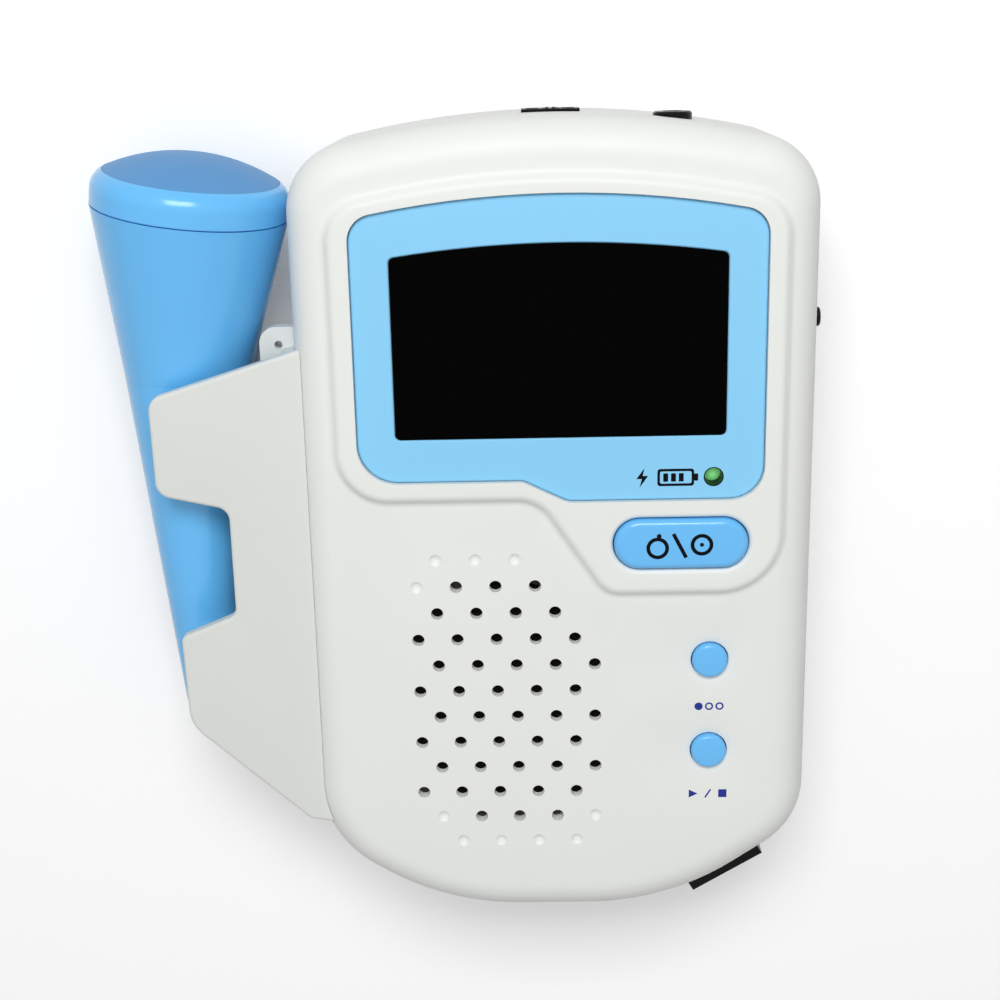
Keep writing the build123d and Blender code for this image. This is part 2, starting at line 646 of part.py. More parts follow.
# ---- Ports: each is built about its own axis and then placed ----
def socket_place(height=0.0):
    """Place on the curved bottom wall, looking out along the probe socket's axis."""
    angle = radians(SOCKET_ANGLE)
    reach = BOTTOM_CROWN_RADIUS
    slope = atan2(BOTTOM_RIGHT_RISE, BOTTOM_RIGHT_RUN)
    middle = CASE_WIDTH / 2 - BOTTOM_RIGHT_RUN - reach * tan(slope / 2)
    origin = (middle + reach * sin(angle), BOTTOM + reach - reach * cos(angle), SOCKET_Z)
    normal = (sin(angle), -cos(angle), 0)
    tangent = (cos(angle), sin(angle), 0)
    return Plane(origin=origin, x_dir=tangent, z_dir=normal).location * Pos(0, 0, height)


def socket_block(width, height, depth, standout):
    """Block across the bottom wall, from depth inside it to standout outside it."""
    length = depth + standout
    return socket_place(standout - length / 2) * Box(width, height, length)


def jack_rod(radius, start, end):
    """Cylinder on the headphone jack's axis, which runs along Y."""
    return Pos(JACK_X, (start + end) / 2, JACK_Z) * Rot(90, 0, 0) * Cylinder(radius, end - start)


def charge_rod(radius, start, end):
    """Cylinder on the charging socket's axis, which runs along X."""
    place = Pos((start + end) / 2, CHARGE_Y, CHARGE_Z) * Rot(0, 90, 0)
    return place * Cylinder(radius, end - start)


def holder_rod(radius, start, end, y):
    """Cylinder on a holder screw's axis, which runs along X."""
    place = Pos((start + end) / 2, y, HOLDER_SCREW_Z) * Rot(0, 90, 0)
    return place * Cylinder(radius, end - start)


def bezel_block(grow=0.0):
    """Body of the volume wheel's bezel, through the top wall."""
    width = BEZEL_WIDTH - 2 * BEZEL_FLANGE + 2 * grow
    height = BEZEL_HEIGHT - 2 * BEZEL_FLANGE + 2 * grow
    return bar((-width / 2, width / 2), (TOP - WALL - BEZEL_STANDOUT, TOP + BEZEL_STANDOUT),
               (WHEEL_Z - height / 2, WHEEL_Z + height / 2))


def wheel_space():
    """Room that the volume wheel turns in."""
    return post(WHEEL_RADIUS + WHEEL_GAP, WHEEL_BOTTOM - WHEEL_GAP, WHEEL_TOP + WHEEL_GAP, y=WHEEL_Y)


def speaker_holes():
    """Round holes through the front wall and shallow round dimples about them."""
    holes, dimples = [], []
    for row, hole_columns, dimple_columns in HOLE_ROWS:
        y = SPEAKER_Y + (HOLE_MIDDLE_ROW - row) * HOLE_PITCH_Y
        for columns, group in ((hole_columns, holes), (dimple_columns, dimples)):
            for column in columns:
                group.append((SPEAKER_X + HOLE_COLUMN_SHIFT + column * HOLE_PITCH_X / 2, y))
    ball_radius = (HOLE_RADIUS ** 2 + DIMPLE_DEPTH ** 2) / (2 * DIMPLE_DEPTH)
    ball_z = CASE_DEPTH - DIMPLE_DEPTH + ball_radius
    through = [post(HOLE_RADIUS, FRONT_INNER - CUT, CASE_DEPTH + CUT, x, y) for x, y in holes]
    shallow = [Pos(x, y, ball_z) * Sphere(ball_radius) for x, y in dimples]
    return through + shallow


def parting_groove():
    """Ring that leaves the narrow shadow line where the two shells meet."""
    ring = case_outline(-CUT) - case_outline(PARTING_GROOVE_DEPTH)
    half = PARTING_GROOVE_WIDTH / 2
    return prism(ring, PARTING_HEIGHT - half, PARTING_HEIGHT + half)


def mouth(form, x, y, width, length):
    """Edges of a button's opening where it meets the frame's front."""
    reach_x, reach_y = width / 2 + 2 * BUTTON_GAP, length / 2 + 2 * BUTTON_GAP

    def at_mouth(edge):
        box = edge.bounding_box()
        return (box.min.Z > FRAME_FRONT - FIT_GAP
                and abs(box.min.X - x) < reach_x and abs(box.max.X - x) < reach_x
                and abs(box.min.Y - y) < reach_y and abs(box.max.Y - y) < reach_y)

    return form.edges().filter_by(at_mouth)


def button_dish():
    """Shallow cone that dishes the case's front round a round button's opening."""
    inner = ROUND_RADIUS + BUTTON_GAP
    slope = ROUND_DISH_WIDTH / ROUND_DISH_DEPTH
    return turned([
        (0, CASE_DEPTH - ROUND_DISH_DEPTH), (inner, CASE_DEPTH - ROUND_DISH_DEPTH),
        (inner + ROUND_DISH_WIDTH + slope * FIT_GAP, CASE_DEPTH + FIT_GAP), (0, CASE_DEPTH + FIT_GAP),
    ])


# ---- Shells ----
def front_shell():
    """Front half of the case, with the raised frame, the pockets and the inner bosses."""
    block = case_block()
    raised = raised_frame()
    form = block + raised
    form = fillet(new_edges(block, raised, combined=form), FRAME_FOOT_RADIUS)
    form = fillet(form.faces().sort_by(Axis.Z)[-1].edges(), FRAME_EDGE_RADIUS)
    power = SlotOverall(POWER_WIDTH + 2 * BUTTON_GAP, POWER_LENGTH + 2 * BUTTON_GAP)
    form -= prism(Pos(POWER_X, POWER_Y) * power, FRONT_INNER - CUT, FRAME_FRONT + CUT)
    form = fillet(mouth(form, POWER_X, POWER_Y, POWER_WIDTH, POWER_LENGTH), POWER_RIM_RADIUS)
    shell = form & bar((2 * LEFT, 2 * RIGHT), (2 * BOTTOM, 2 * TOP), (PARTING_HEIGHT, FRAME_FRONT))
    shell -= case_block(WALL)
    shell -= prism(case_outline(LIP_THICKNESS), PARTING_HEIGHT, PARTING_HEIGHT + LIP_HEIGHT + FIT_GAP)

    for x, y in CASE_SCREWS:
        shell += post(SCREW_COLUMN_RADIUS, PARTING_HEIGHT, CASE_DEPTH - WALL / 2, x, y)
        shell -= post(SCREW_RADIUS + RUNNING_GAP, PARTING_HEIGHT, SCREW_SEAT + SCREW_LENGTH + CUT, x, y)
    for x, y in BOARD_SCREWS:
        shell += post(BOARD_BOSS_RADIUS, BOARD_TOP, CASE_DEPTH - WALL / 2, x, y)
        hole_end = BOARD_BOTTOM + BOARD_SCREW_LENGTH + CUT
        shell -= post(BOARD_SCREW_RADIUS + RUNNING_GAP, BOARD_TOP, hole_end, x, y)
    rim_inner = SPEAKER_RADIUS + FIT_GAP
    rim = post(rim_inner + SPEAKER_RIM_WALL, FRONT_INNER - SPEAKER_RIM_HEIGHT, FRONT_INNER + CUT)
    rim -= post(rim_inner, FRONT_INNER - SPEAKER_RIM_HEIGHT, FRONT_INNER + CUT)
    shell += Pos(SPEAKER_X, SPEAKER_Y) * rim

    shell -= prism(panel_outline(FIT_GAP), PANEL_BACK, FRAME_FRONT + CUT)
    shell -= prism(window_outline(-WINDOW_LEDGE), FRONT_INNER - CUT, FRAME_FRONT)
    shell -= post(LIGHT_HOLE_RADIUS, FRONT_INNER - CUT, FRAME_FRONT + CUT, LIGHT_X, LIGHT_Y)
    flange_room = FLANGE_BOTTOM - BUTTON_TRAVEL - BUTTON_FLANGE_GAP
    for y in (MODE_Y, START_Y):
        shell -= post(ROUND_RADIUS + BUTTON_GAP, FRONT_INNER - CUT, FRAME_FRONT, ROUND_X, y)
        shell -= Pos(ROUND_X, y) * button_dish()
        shell -= post(ROUND_RADIUS + BUTTON_FLANGE + BUTTON_GAP, flange_room, FRONT_INNER, ROUND_X, y)
    shell -= post(GRILLE_RADIUS, FRONT_INNER - CUT, GRILLE_BACK, SPEAKER_X, SPEAKER_Y)
    shell -= speaker_holes()

    shell -= parting_groove()
    shell -= wheel_space()
    shell -= bezel_block(FIT_GAP)
    shell -= jack_rod(JACK_COLLAR_RADIUS + FIT_GAP, JACK_WALL_Y - 2 * WALL, JACK_WALL_Y + 2 * WALL)
    shell -= charge_rod(CHARGE_NECK_RADIUS + FIT_GAP, RIGHT - 2 * WALL, RIGHT + CUT)
    shell -= socket_block(SOCKET_WIDTH + 2 * FIT_GAP, SOCKET_HEIGHT + 2 * FIT_GAP, SOCKET_DEPTH,
                          SOCKET_STANDOUT)
    return shell


def rear_shell():
    """Back half of the case, with the battery bay, the screw columns and the joint's lip."""
    shell = case_block() & bar((2 * LEFT, 2 * RIGHT), (2 * BOTTOM, 2 * TOP), (0, PARTING_HEIGHT))
    shell -= case_block(WALL)
    lip = case_outline(LIP_THICKNESS + FIT_GAP) - case_outline(WALL)
    shell += prism(lip, PARTING_HEIGHT - CUT, PARTING_HEIGHT + LIP_HEIGHT)

    bay_x = BAY_HALF_X + BAY_WALL
    bay_y = (BAY_BOTTOM - BAY_WALL, BAY_TOP + BAY_WALL)
    shell += bar((-bay_x, bay_x), bay_y, (WALL / 2, BAY_ROOF + BAY_CEILING))
    shell -= bar((-BAY_HALF_X, BAY_HALF_X), (BAY_BOTTOM, BAY_TOP), (-CUT, BAY_ROOF))
    slot_half = TAB_WIDTH / 2 + DOOR_GAP
    slot_top = WALL + TAB_REACH + TAB_SLOT_ROOM
    for x in (-TAB_X, TAB_X):
        tab_y = (BAY_TOP - CUT, BAY_TOP + BAY_WALL + CUT)
        shell -= bar((x - slot_half, x + slot_half), tab_y, (WALL, slot_top))

    for x, y in CASE_SCREWS:
        shell += post(SCREW_COLUMN_RADIUS, WALL / 2, PARTING_HEIGHT, x, y)
        shell -= post(SCREW_HEAD_RADIUS + FIT_GAP, -CUT, SCREW_SEAT, x, y)
        shell -= post(SCREW_RADIUS + RUNNING_GAP, -CUT, PARTING_HEIGHT + CUT, x, y)
    for y in HOLDER_SCREWS_Y:
        shell += holder_rod(HOLDER_BOSS_RADIUS, LEFT + WALL / 2, LEFT + HOLDER_BOSS_LENGTH, y)
        shell -= holder_rod(SCREW_RADIUS + RUNNING_GAP, LEFT - CUT, LEFT + HOLDER_BOSS_LENGTH + CUT, y)
    return shell - parting_groove()


# ---- Front panel and display ----
def front_panel():
    """Printed plate in the frame's pocket, open round the window and the charge light."""
    plate = prism(panel_outline(), PANEL_BACK, PANEL_FRONT)
    plate = fillet(plate.faces().sort_by(Axis.Z)[-1].edges(), PANEL_EDGE)
    plate -= prism(window_outline(FIT_GAP), PANEL_BACK - CUT, PANEL_FRONT + CUT)
    inner_edges = plate.faces().sort_by(Axis.Z)[-1].inner_wires()[0].edges()
    plate = chamfer(inner_edges, PANEL_WINDOW_EDGE)
    return plate - post(LIGHT_HOLE_RADIUS, PANEL_BACK - CUT, PANEL_FRONT + CUT, LIGHT_X, LIGHT_Y)


def display_window():
    """Clear cover of the display, seated on the ledge round the opening."""
    return prism(window_outline(), PANEL_BACK, PANEL_FRONT - WINDOW_SINK)


def display_gasket():
    """Foam frame between the display module and the front shell."""
    frame = module_outline(MODULE_MARGIN) - module_outline(MODULE_MARGIN - GASKET_WIDTH)
    return prism(frame, MODULE_TOP, FRONT_INNER)


def lcd_module():
    """Display glass in its metal frame on a small board."""
    board_top = MODULE_BOTTOM + MODULE_BOARD_THICKNESS
    body = prism(module_outline(MODULE_MARGIN), board_top, MODULE_TOP)
    body -= prism(module_outline(-MODULE_VIEW_MARGIN), MODULE_TOP - MODULE_VIEW_DEPTH, MODULE_TOP + CUT)
    return body + prism(module_outline(MODULE_MARGIN + MODULE_BOARD_MARGIN), MODULE_BOTTOM, board_top)


def lcd_header():
    """Pin strip that carries the display module on the main board."""
    y = WINDOW_BOTTOM - MODULE_MARGIN + HEADER_DEPTH
    return bar((WINDOW_X - HEADER_WIDTH / 2, WINDOW_X + HEADER_WIDTH / 2),
               (y - HEADER_DEPTH / 2, y + HEADER_DEPTH / 2), (BOARD_TOP, MODULE_BOTTOM))


# ---- Circuit board and what it carries ----
def plate(x_range, y_range):
    """Flat rectangle between limits."""
    width, length = x_range[1] - x_range[0], y_range[1] - y_range[0]
    return Pos(x_range[0] + width / 2, y_range[0] + length / 2) * Rectangle(width, length)


def main_board():
    """Board behind the display, with a tongue to the top ports and a strip under the buttons."""
    right = RIGHT - BOARD_SIDE
    tongue_right = RIGHT - SCREW_FROM_SIDE - SCREW_COLUMN_RADIUS - BOARD_COLUMN_GAP
    tongue_top = TOP - sagitta(TOP_CROWN_RADIUS, tongue_right) - WALL - BOARD_WALL_GAP
    sheet = plate((LEFT + BOARD_SIDE, right), (BOARD_SHOULDER_BOTTOM, BOARD_SHOULDER_TOP))
    sheet += plate((-tongue_right, tongue_right), (BOARD_SHOULDER_TOP - CUT, tongue_top))
    sheet += plate((BOARD_STRIP_LEFT, right), (BOARD_STRIP_BOTTOM, BOARD_SHOULDER_BOTTOM + CUT))
    board = prism(sheet, BOARD_BOTTOM, BOARD_TOP)
    for x, y in BOARD_SCREWS:
        board -= post(BOARD_SCREW_RADIUS + FIT_GAP, BOARD_BOTTOM - CUT, BOARD_TOP + CUT, x, y)
    return board


def board_components():
    """Processor, amplifier, crystal and two capacitors on the back of the main board."""
    parts = []
    for right, up, width, length, height in CHIPS:
        x, y = LEFT + BOARD_SIDE + right, BOARD_SHOULDER_BOTTOM + up
        parts.append(bar((x - width / 2, x + width / 2), (y - length / 2, y + length / 2),
                         (BOARD_BOTTOM - height, BOARD_BOTTOM)))
    for y in (MODE_Y, MODE_Y - CAPACITOR_PITCH):
        parts.append(post(CAPACITOR_RADIUS, BOARD_BOTTOM - CAPACITOR_HEIGHT, BOARD_BOTTOM, ROUND_X, y))
    return Compound(children=parts)


def board_screws():
    """Screws that hold the board to the front shell's bosses."""
    head_bottom = BOARD_BOTTOM - BOARD_SCREW_HEAD_HEIGHT
    screws = []
    for x, y in BOARD_SCREWS:
        screw = post(BOARD_SCREW_HEAD_RADIUS, head_bottom, BOARD_BOTTOM, x, y)
        shank_top = BOARD_BOTTOM + BOARD_SCREW_LENGTH
        screws.append(screw + post(BOARD_SCREW_RADIUS, head_bottom, shank_top, x, y))
    return Compound(children=screws)


def tact_switches():
    """Switch bodies under the three buttons, each with the bore that its plunger runs in."""
    switches = []
    for x, y in ((POWER_X, POWER_Y), (ROUND_X, MODE_Y), (ROUND_X, START_Y)):
        half = SWITCH_SIDE / 2
        body = bar((x - half, x + half), (y - half, y + half), (BOARD_TOP, SWITCH_TOP))
        floor = PLUNGER_TOP - PLUNGER_LENGTH - BUTTON_TRAVEL - PLUNGER_FLOOR_GAP
        switches.append(body - post(PLUNGER_RADIUS + RUNNING_GAP, floor, SWITCH_TOP + CUT, x, y))
    return Compound(children=switches)


def plunger(x, y):
    """Plunger that the button's stem stands on."""
    return post(PLUNGER_RADIUS, PLUNGER_TOP - PLUNGER_LENGTH, PLUNGER_TOP, x, y)


def power_button():
    """Long button with rounded ends, a retaining flange and a stem."""
    cap = prism(SlotOverall(POWER_WIDTH, POWER_LENGTH), FLANGE_BOTTOM, FRAME_FRONT + POWER_STANDOUT)
    cap = fillet(cap.faces().sort_by(Axis.Z)[-1].edges(), POWER_EDGE_RADIUS)
    flange = SlotOverall(POWER_WIDTH + 2 * BUTTON_FLANGE, POWER_LENGTH + 2 * BUTTON_FLANGE)
    cap += prism(flange, FLANGE_BOTTOM, FLANGE_TOP)
    cap += post(BUTTON_STEM_RADIUS, PLUNGER_TOP, FLANGE_TOP)
    return Pos(POWER_X, POWER_Y) * cap


def round_button(y):
    """Round button with a rounded edge, a slightly domed face, a retaining flange and a stem."""
    rim = CASE_DEPTH + ROUND_RIM_STANDOUT
    face_radius = ROUND_RADIUS - ROUND_EDGE_RADIUS
    face = rim + ROUND_EDGE_RADIUS
    flange = ROUND_RADIUS + BUTTON_FLANGE
    edges = [
        Polyline((0, PLUNGER_TOP), (BUTTON_STEM_RADIUS, PLUNGER_TOP), (BUTTON_STEM_RADIUS, FLANGE_BOTTOM),
                 (flange, FLANGE_BOTTOM), (flange, FLANGE_TOP), (ROUND_RADIUS, FLANGE_TOP),
                 (ROUND_RADIUS, rim)),
        TangentArc((ROUND_RADIUS, rim), (face_radius, face), tangent=(0, 1)),
        dome_arc(face_radius, face, ROUND_DOME),
        Line((0, face + ROUND_DOME), (0, PLUNGER_TOP)),
    ]
    return Pos(ROUND_X, y) * revolve(Plane.XZ * make_face(edges), Axis.Z)


def charge_light():
    """Round-topped lamp with its flange and two legs down to the board."""
    top = PANEL_FRONT - LIGHT_SINK
    bottom = top - LIGHT_LENGTH
    lamp = post(LIGHT_RADIUS, bottom, top)
    lamp = fillet(lamp.faces().sort_by(Axis.Z)[-1].edges(), LIGHT_RADIUS * 0.9)
    lamp += post(LIGHT_RADIUS + LIGHT_FLANGE, bottom - LIGHT_FLANGE_THICKNESS, bottom)
    for x in (-LIGHT_LEG_PITCH / 2, LIGHT_LEG_PITCH / 2):
        lamp += post(LIGHT_LEG_RADIUS, BOARD_TOP, bottom, x, 0)
    return Pos(LIGHT_X, LIGHT_Y) * lamp


def light_sleeve():
    """Black sleeve round the lamp, from its flange up to the panel's face."""
    bottom = PANEL_FRONT - LIGHT_SINK - LIGHT_LENGTH
    top = PANEL_FRONT - SLEEVE_SINK
    sleeve = post(SLEEVE_OUTER_RADIUS, bottom, top) - post(SLEEVE_INNER_RADIUS, bottom - CUT, top + CUT)
    return Pos(LIGHT_X, LIGHT_Y) * sleeve


# ---- Speaker ----
def speaker_cloth():
    """Black cloth glued behind the holes, in the thinned part of the front wall."""
    return post(GRILLE_RADIUS - FIT_GAP, GRILLE_BACK - CLOTH_THICKNESS, GRILLE_BACK, SPEAKER_X, SPEAKER_Y)


def speaker_gasket():
    """Foam ring between the speaker's flange and the front wall."""
    ring = post(SPEAKER_RADIUS, SPEAKER_FRONT, FRONT_INNER)
    ring -= post(SPEAKER_RADIUS - SPEAKER_FLANGE_WIDTH, SPEAKER_FRONT - CUT, FRONT_INNER + CUT)
    return Pos(SPEAKER_X, SPEAKER_Y) * ring


def speaker_frame():
    """Pressed steel basket: flange, cone-shaped side and a plate round the coil's gap."""
    inner = SPEAKER_RADIUS - SPEAKER_FLANGE_WIDTH
    flange_bottom = SPEAKER_FRONT - SPEAKER_FLANGE_THICKNESS
    plate_top = SPEAKER_BACK + SPEAKER_SHEET
    gap_radius = COIL_RADIUS + COIL_GAP
    basket = turned([
        (SPEAKER_RADIUS, SPEAKER_FRONT), (inner, SPEAKER_FRONT), (inner, flange_bottom),
        (SPEAKER_NECK_RADIUS, plate_top), (gap_radius, plate_top), (gap_radius, SPEAKER_BACK),
        (SPEAKER_NECK_RADIUS + SPEAKER_SHEET, SPEAKER_BACK),
        (inner + SPEAKER_SHEET, flange_bottom), (SPEAKER_RADIUS, flange_bottom),
    ])
    return Pos(SPEAKER_X, SPEAKER_Y) * basket


def speaker_cone():
    """Paper cone with its dust cap and the coil former below it."""
    rim = SPEAKER_RADIUS - SPEAKER_FLANGE_WIDTH - FIT_GAP
    roll = rim - CONE_ROLL_WIDTH
    top = SPEAKER_FRONT
    throat = top - CONE_DEPTH
    former = COIL_RADIUS - COIL_WALL
    coil_end = SPEAKER_BACK + COIL_GAP
    cone = turned([
        (0, throat + DUST_CAP_HEIGHT), (COIL_RADIUS, throat), (roll, top - CONE_ROLL_DEPTH),
        (rim, top - CONE_RIM_SINK), (rim, top - CONE_RIM_SINK - CONE_SHEET),
        (roll, top - CONE_ROLL_DEPTH - CONE_SHEET), (COIL_RADIUS, throat - CONE_SHEET),
        (COIL_RADIUS, coil_end), (former, coil_end),
        (former, throat - CONE_SHEET), (0, throat + DUST_CAP_HEIGHT - CONE_SHEET),
    ])
    return Pos(SPEAKER_X, SPEAKER_Y) * cone


def speaker_magnet():
    """Ring magnet and its steel cup behind the basket."""
    magnet = post(MAGNET_RADIUS, SPEAKER_BACK - MAGNET_THICKNESS, SPEAKER_BACK, SPEAKER_X, SPEAKER_Y)
    return chamfer(magnet.faces().sort_by(Axis.Z)[0].edges(), MAGNET_CHAMFER)


# ---- Battery ----
def cell_places():
    """Y of each cell, and the side that its positive end points to."""
    for index in range(CELL_COUNT):
        yield BAY_Y + (index - (CELL_COUNT - 1) / 2) * CELL_PITCH, 1 - 2 * (index % 2)


def battery_cells():
    """Rechargeable cells lying across the bay, each with its positive button."""
    cells = []
    for y, side in cell_places():
        half = CELL_LENGTH / 2
        can = post(CELL_RADIUS, -half, half - CELL_BUTTON_HEIGHT)
        can += post(CELL_BUTTON_RADIUS, half - 2 * CELL_BUTTON_HEIGHT, half)
        cell = Rot(0, 90, 0) * can
        cells.append(Pos(0, y, CELL_Z) * Rot(0, 0, 90 - 90 * side) * cell)
    return Compound(children=cells)


def battery_contacts():
    """Sheet contacts at both ends of the cells: a stud at the button, a spring at the base."""
    contacts = []
    outer = BAY_HALF_X - CONTACT_GAP
    reach = CELL_LENGTH / 2 + CONTACT_GAP
    length = outer - CONTACT_SHEET - reach
    stud = Cylinder(CONTACT_STUD_RADIUS, length)
    spring = Cylinder(CONTACT_SPRING_RADIUS, length) - stud
    for y, side in cell_places():
        for end, tip in ((side, stud), (-side, spring)):
            plate = Pos(end * (outer - CONTACT_SHEET / 2), y, CELL_Z) * Box(
                CONTACT_SHEET, CONTACT_PLATE, CONTACT_PLATE)
            place = Pos(end * (reach + length / 2), y, CELL_Z) * Rot(0, 90, 0)
            contacts.append(plate + place * tip)
    return Compound(children=contacts)


def battery_door():
    """Cover of the battery bay: two tabs at the top edge, a latch tongue and finger grips below."""
    half = BAY_HALF_X - DOOR_GAP
    foot = BAY_BOTTOM + DOOR_GAP
    door = bar((-half, half), (foot, DOOR_HINGE_Y), (DOOR_SINK, DOOR_TOP_Z))
    tab_bottom = WALL + TAB_LIFT
    tab_top = tab_bottom + TAB_THICKNESS
    for x in (-TAB_X, TAB_X):
        sides = (x - TAB_WIDTH / 2, x + TAB_WIDTH / 2)
        door += bar(sides, (DOOR_HINGE_Y - TAB_ROOT, DOOR_HINGE_Y), (DOOR_SINK, tab_top))
        door += bar(sides, (DOOR_HINGE_Y - TAB_NECK, DOOR_HINGE_Y + TAB_REACH), (tab_bottom, tab_top))
    latch = (foot + LATCH_FROM_EDGE, foot + LATCH_FROM_EDGE + LATCH_THICKNESS)
    door += bar((-LATCH_WIDTH / 2, LATCH_WIDTH / 2), latch, (DOOR_SINK, DOOR_TOP_Z + LATCH_HEIGHT))
    for index in range(GRIP_COUNT):
        y = foot + GRIP_FROM_EDGE + index * GRIP_PITCH
        door -= bar((-GRIP_LENGTH / 2, GRIP_LENGTH / 2), (y, y + GRIP_WIDTH),
                    (DOOR_SINK - CUT, DOOR_SINK + GRIP_DEPTH))
    return door


# ---- Volume wheel, jack and sockets ----
def volume_wheel():
    """Knurled thumb wheel with the short shaft that turns in the potentiometer."""
    wheel = post(WHEEL_RADIUS, WHEEL_BOTTOM, WHEEL_TOP)
    wheel = chamfer(wheel.edges(), WHEEL_CHAMFER)
    groove = post(KNURL_RADIUS, WHEEL_BOTTOM - CUT, WHEEL_TOP + CUT, WHEEL_RADIUS, 0)
    wheel -= [Rot(0, 0, index * 360 / WHEEL_TEETH) * groove for index in range(WHEEL_TEETH)]
    wheel += post(WHEEL_SHAFT_RADIUS, WHEEL_Z, WHEEL_TOP + WHEEL_SHAFT_LENGTH)
    return Pos(0, WHEEL_Y) * wheel


def volume_pot():
    """Potentiometer under the board, with the bore that carries the wheel's shaft."""
    bottom = WHEEL_TOP + POT_GAP
    body = bar((-POT_WIDTH / 2, POT_WIDTH / 2), (WHEEL_Y - POT_WIDTH / 2, TOP - WALL - POT_WALL_GAP),
               (bottom, BOARD_BOTTOM))
    bore_top = WHEEL_TOP + WHEEL_SHAFT_LENGTH + POT_GAP
    return body - post(WHEEL_SHAFT_RADIUS + RUNNING_GAP, bottom - CUT, bore_top, 0, WHEEL_Y)


def volume_bezel():
    """Black surround in the top wall, with the slot for the wheel."""
    flange = bar((-BEZEL_WIDTH / 2, BEZEL_WIDTH / 2), (TOP - BEZEL_SEAT, TOP + BEZEL_STANDOUT),
                 (WHEEL_Z - BEZEL_HEIGHT / 2, WHEEL_Z + BEZEL_HEIGHT / 2))
    bezel = flange + bezel_block()
    slot = BEZEL_SLOT_WIDTH / 2
    slot_half = WHEEL_THICKNESS / 2 + WHEEL_GAP
    bezel -= bar((-slot, slot), (TOP - WHEEL_RADIUS, TOP + CUT), (WHEEL_Z - slot_half, WHEEL_Z + slot_half))
    bezel -= wheel_space()
    return bezel - case_shadow()


def case_shadow():
    """Thin slice of the top wall under the bezel's flange, which the flange sits on."""
    wall = prism(case_outline(), WHEEL_Z - BEZEL_HEIGHT, WHEEL_Z + BEZEL_HEIGHT)
    return wall - bezel_block(FIT_GAP / 2)


def headphone_jack():
    """Jack body under the board and its neck through the top wall."""
    body_end = JACK_WALL_Y - WALL - JACK_BODY_GAP
    bore_end = JACK_FRONT_Y - JACK_BORE_LENGTH
    body = bar((JACK_X - JACK_BODY_WIDTH / 2, JACK_X + JACK_BODY_WIDTH / 2),
               (bore_end - JACK_BACK, body_end), (JACK_Z - JACK_BODY_DROP, BOARD_BOTTOM))
    body += jack_rod(JACK_NECK_RADIUS, body_end - CUT, JACK_FRONT_Y)
    return body - jack_rod(JACK_BORE_RADIUS, bore_end, JACK_FRONT_Y + CUT)


def jack_collar():
    """Plated collar on the jack's neck."""
    start = JACK_WALL_Y - WALL - JACK_BODY_GAP + FIT_GAP
    collar = jack_rod(JACK_COLLAR_RADIUS, start, JACK_FRONT_Y)
    collar = chamfer(collar.faces().sort_by(Axis.Y)[-1].edges(), JACK_CHAMFER)
    return collar - jack_rod(JACK_NECK_RADIUS + RUNNING_GAP, start - CUT, JACK_FRONT_Y + CUT)


def charging_socket():
    """Small socket on the board's right edge, with its neck through the side wall."""
    end = RIGHT - WALL - FIT_GAP
    half = CHARGE_BODY_WIDTH / 2
    body = bar((end - CHARGE_BODY_LENGTH, end), (CHARGE_Y - half, CHARGE_Y + half),
               (BOARD_TOP, CHARGE_Z + CHARGE_BODY_RISE))
    front = RIGHT + CHARGE_STANDOUT
    neck = charge_rod(CHARGE_NECK_RADIUS, end - CUT, front)
    neck = chamfer(neck.faces().sort_by(Axis.X)[-1].edges(), CHARGE_CHAMFER)
    return body + neck - charge_rod(CHARGE_BORE_RADIUS, front - CHARGE_BORE_LENGTH, front + CUT)


def probe_socket():
    """Housing of the socket for the probe's plug, square to the curved bottom wall."""
    housing = socket_block(SOCKET_WIDTH, SOCKET_HEIGHT, SOCKET_DEPTH, SOCKET_STANDOUT)
    cavity_depth = SOCKET_CAVITY_DEPTH - SOCKET_STANDOUT
    return housing - socket_block(SOCKET_WIDTH - 2 * SOCKET_WALL, SOCKET_HEIGHT - 2 * SOCKET_WALL,
                                  cavity_depth, SOCKET_STANDOUT + CUT)


def socket_liner():
    """Folded steel liner of the probe socket."""
    width = SOCKET_WIDTH - 2 * SOCKET_WALL - 2 * RUNNING_GAP
    height = SOCKET_HEIGHT - 2 * SOCKET_WALL - 2 * RUNNING_GAP
    depth = SOCKET_CAVITY_DEPTH - SOCKET_STANDOUT - FIT_GAP
    liner = socket_block(width, height, depth, SOCKET_STANDOUT + LINER_STANDOUT)
    return liner - socket_block(width - 2 * LINER_SHEET, height - 2 * LINER_SHEET, depth + CUT,
                                SOCKET_STANDOUT + CUT)


def socket_contacts():
    """Row of plated contacts on the floor of the probe socket."""
    floor = -SOCKET_HEIGHT / 2 + SOCKET_WALL + RUNNING_GAP + LINER_SHEET
    back = -(SOCKET_CAVITY_DEPTH - SOCKET_STANDOUT) + FIT_GAP
    contacts = []
    for index in range(CONTACT_COUNT):
        x = (index - (CONTACT_COUNT - 1) / 2) * CONTACT_PITCH
        middle = Pos(x, floor + CONTACT_HEIGHT / 2 + CONTACT_LIFT, 0)
        contact = middle * Box(CONTACT_WIDTH, CONTACT_HEIGHT, CONTACT_LENGTH)
        contacts.append(socket_place(back + CONTACT_LENGTH / 2) * contact)
    return Compound(children=contacts)


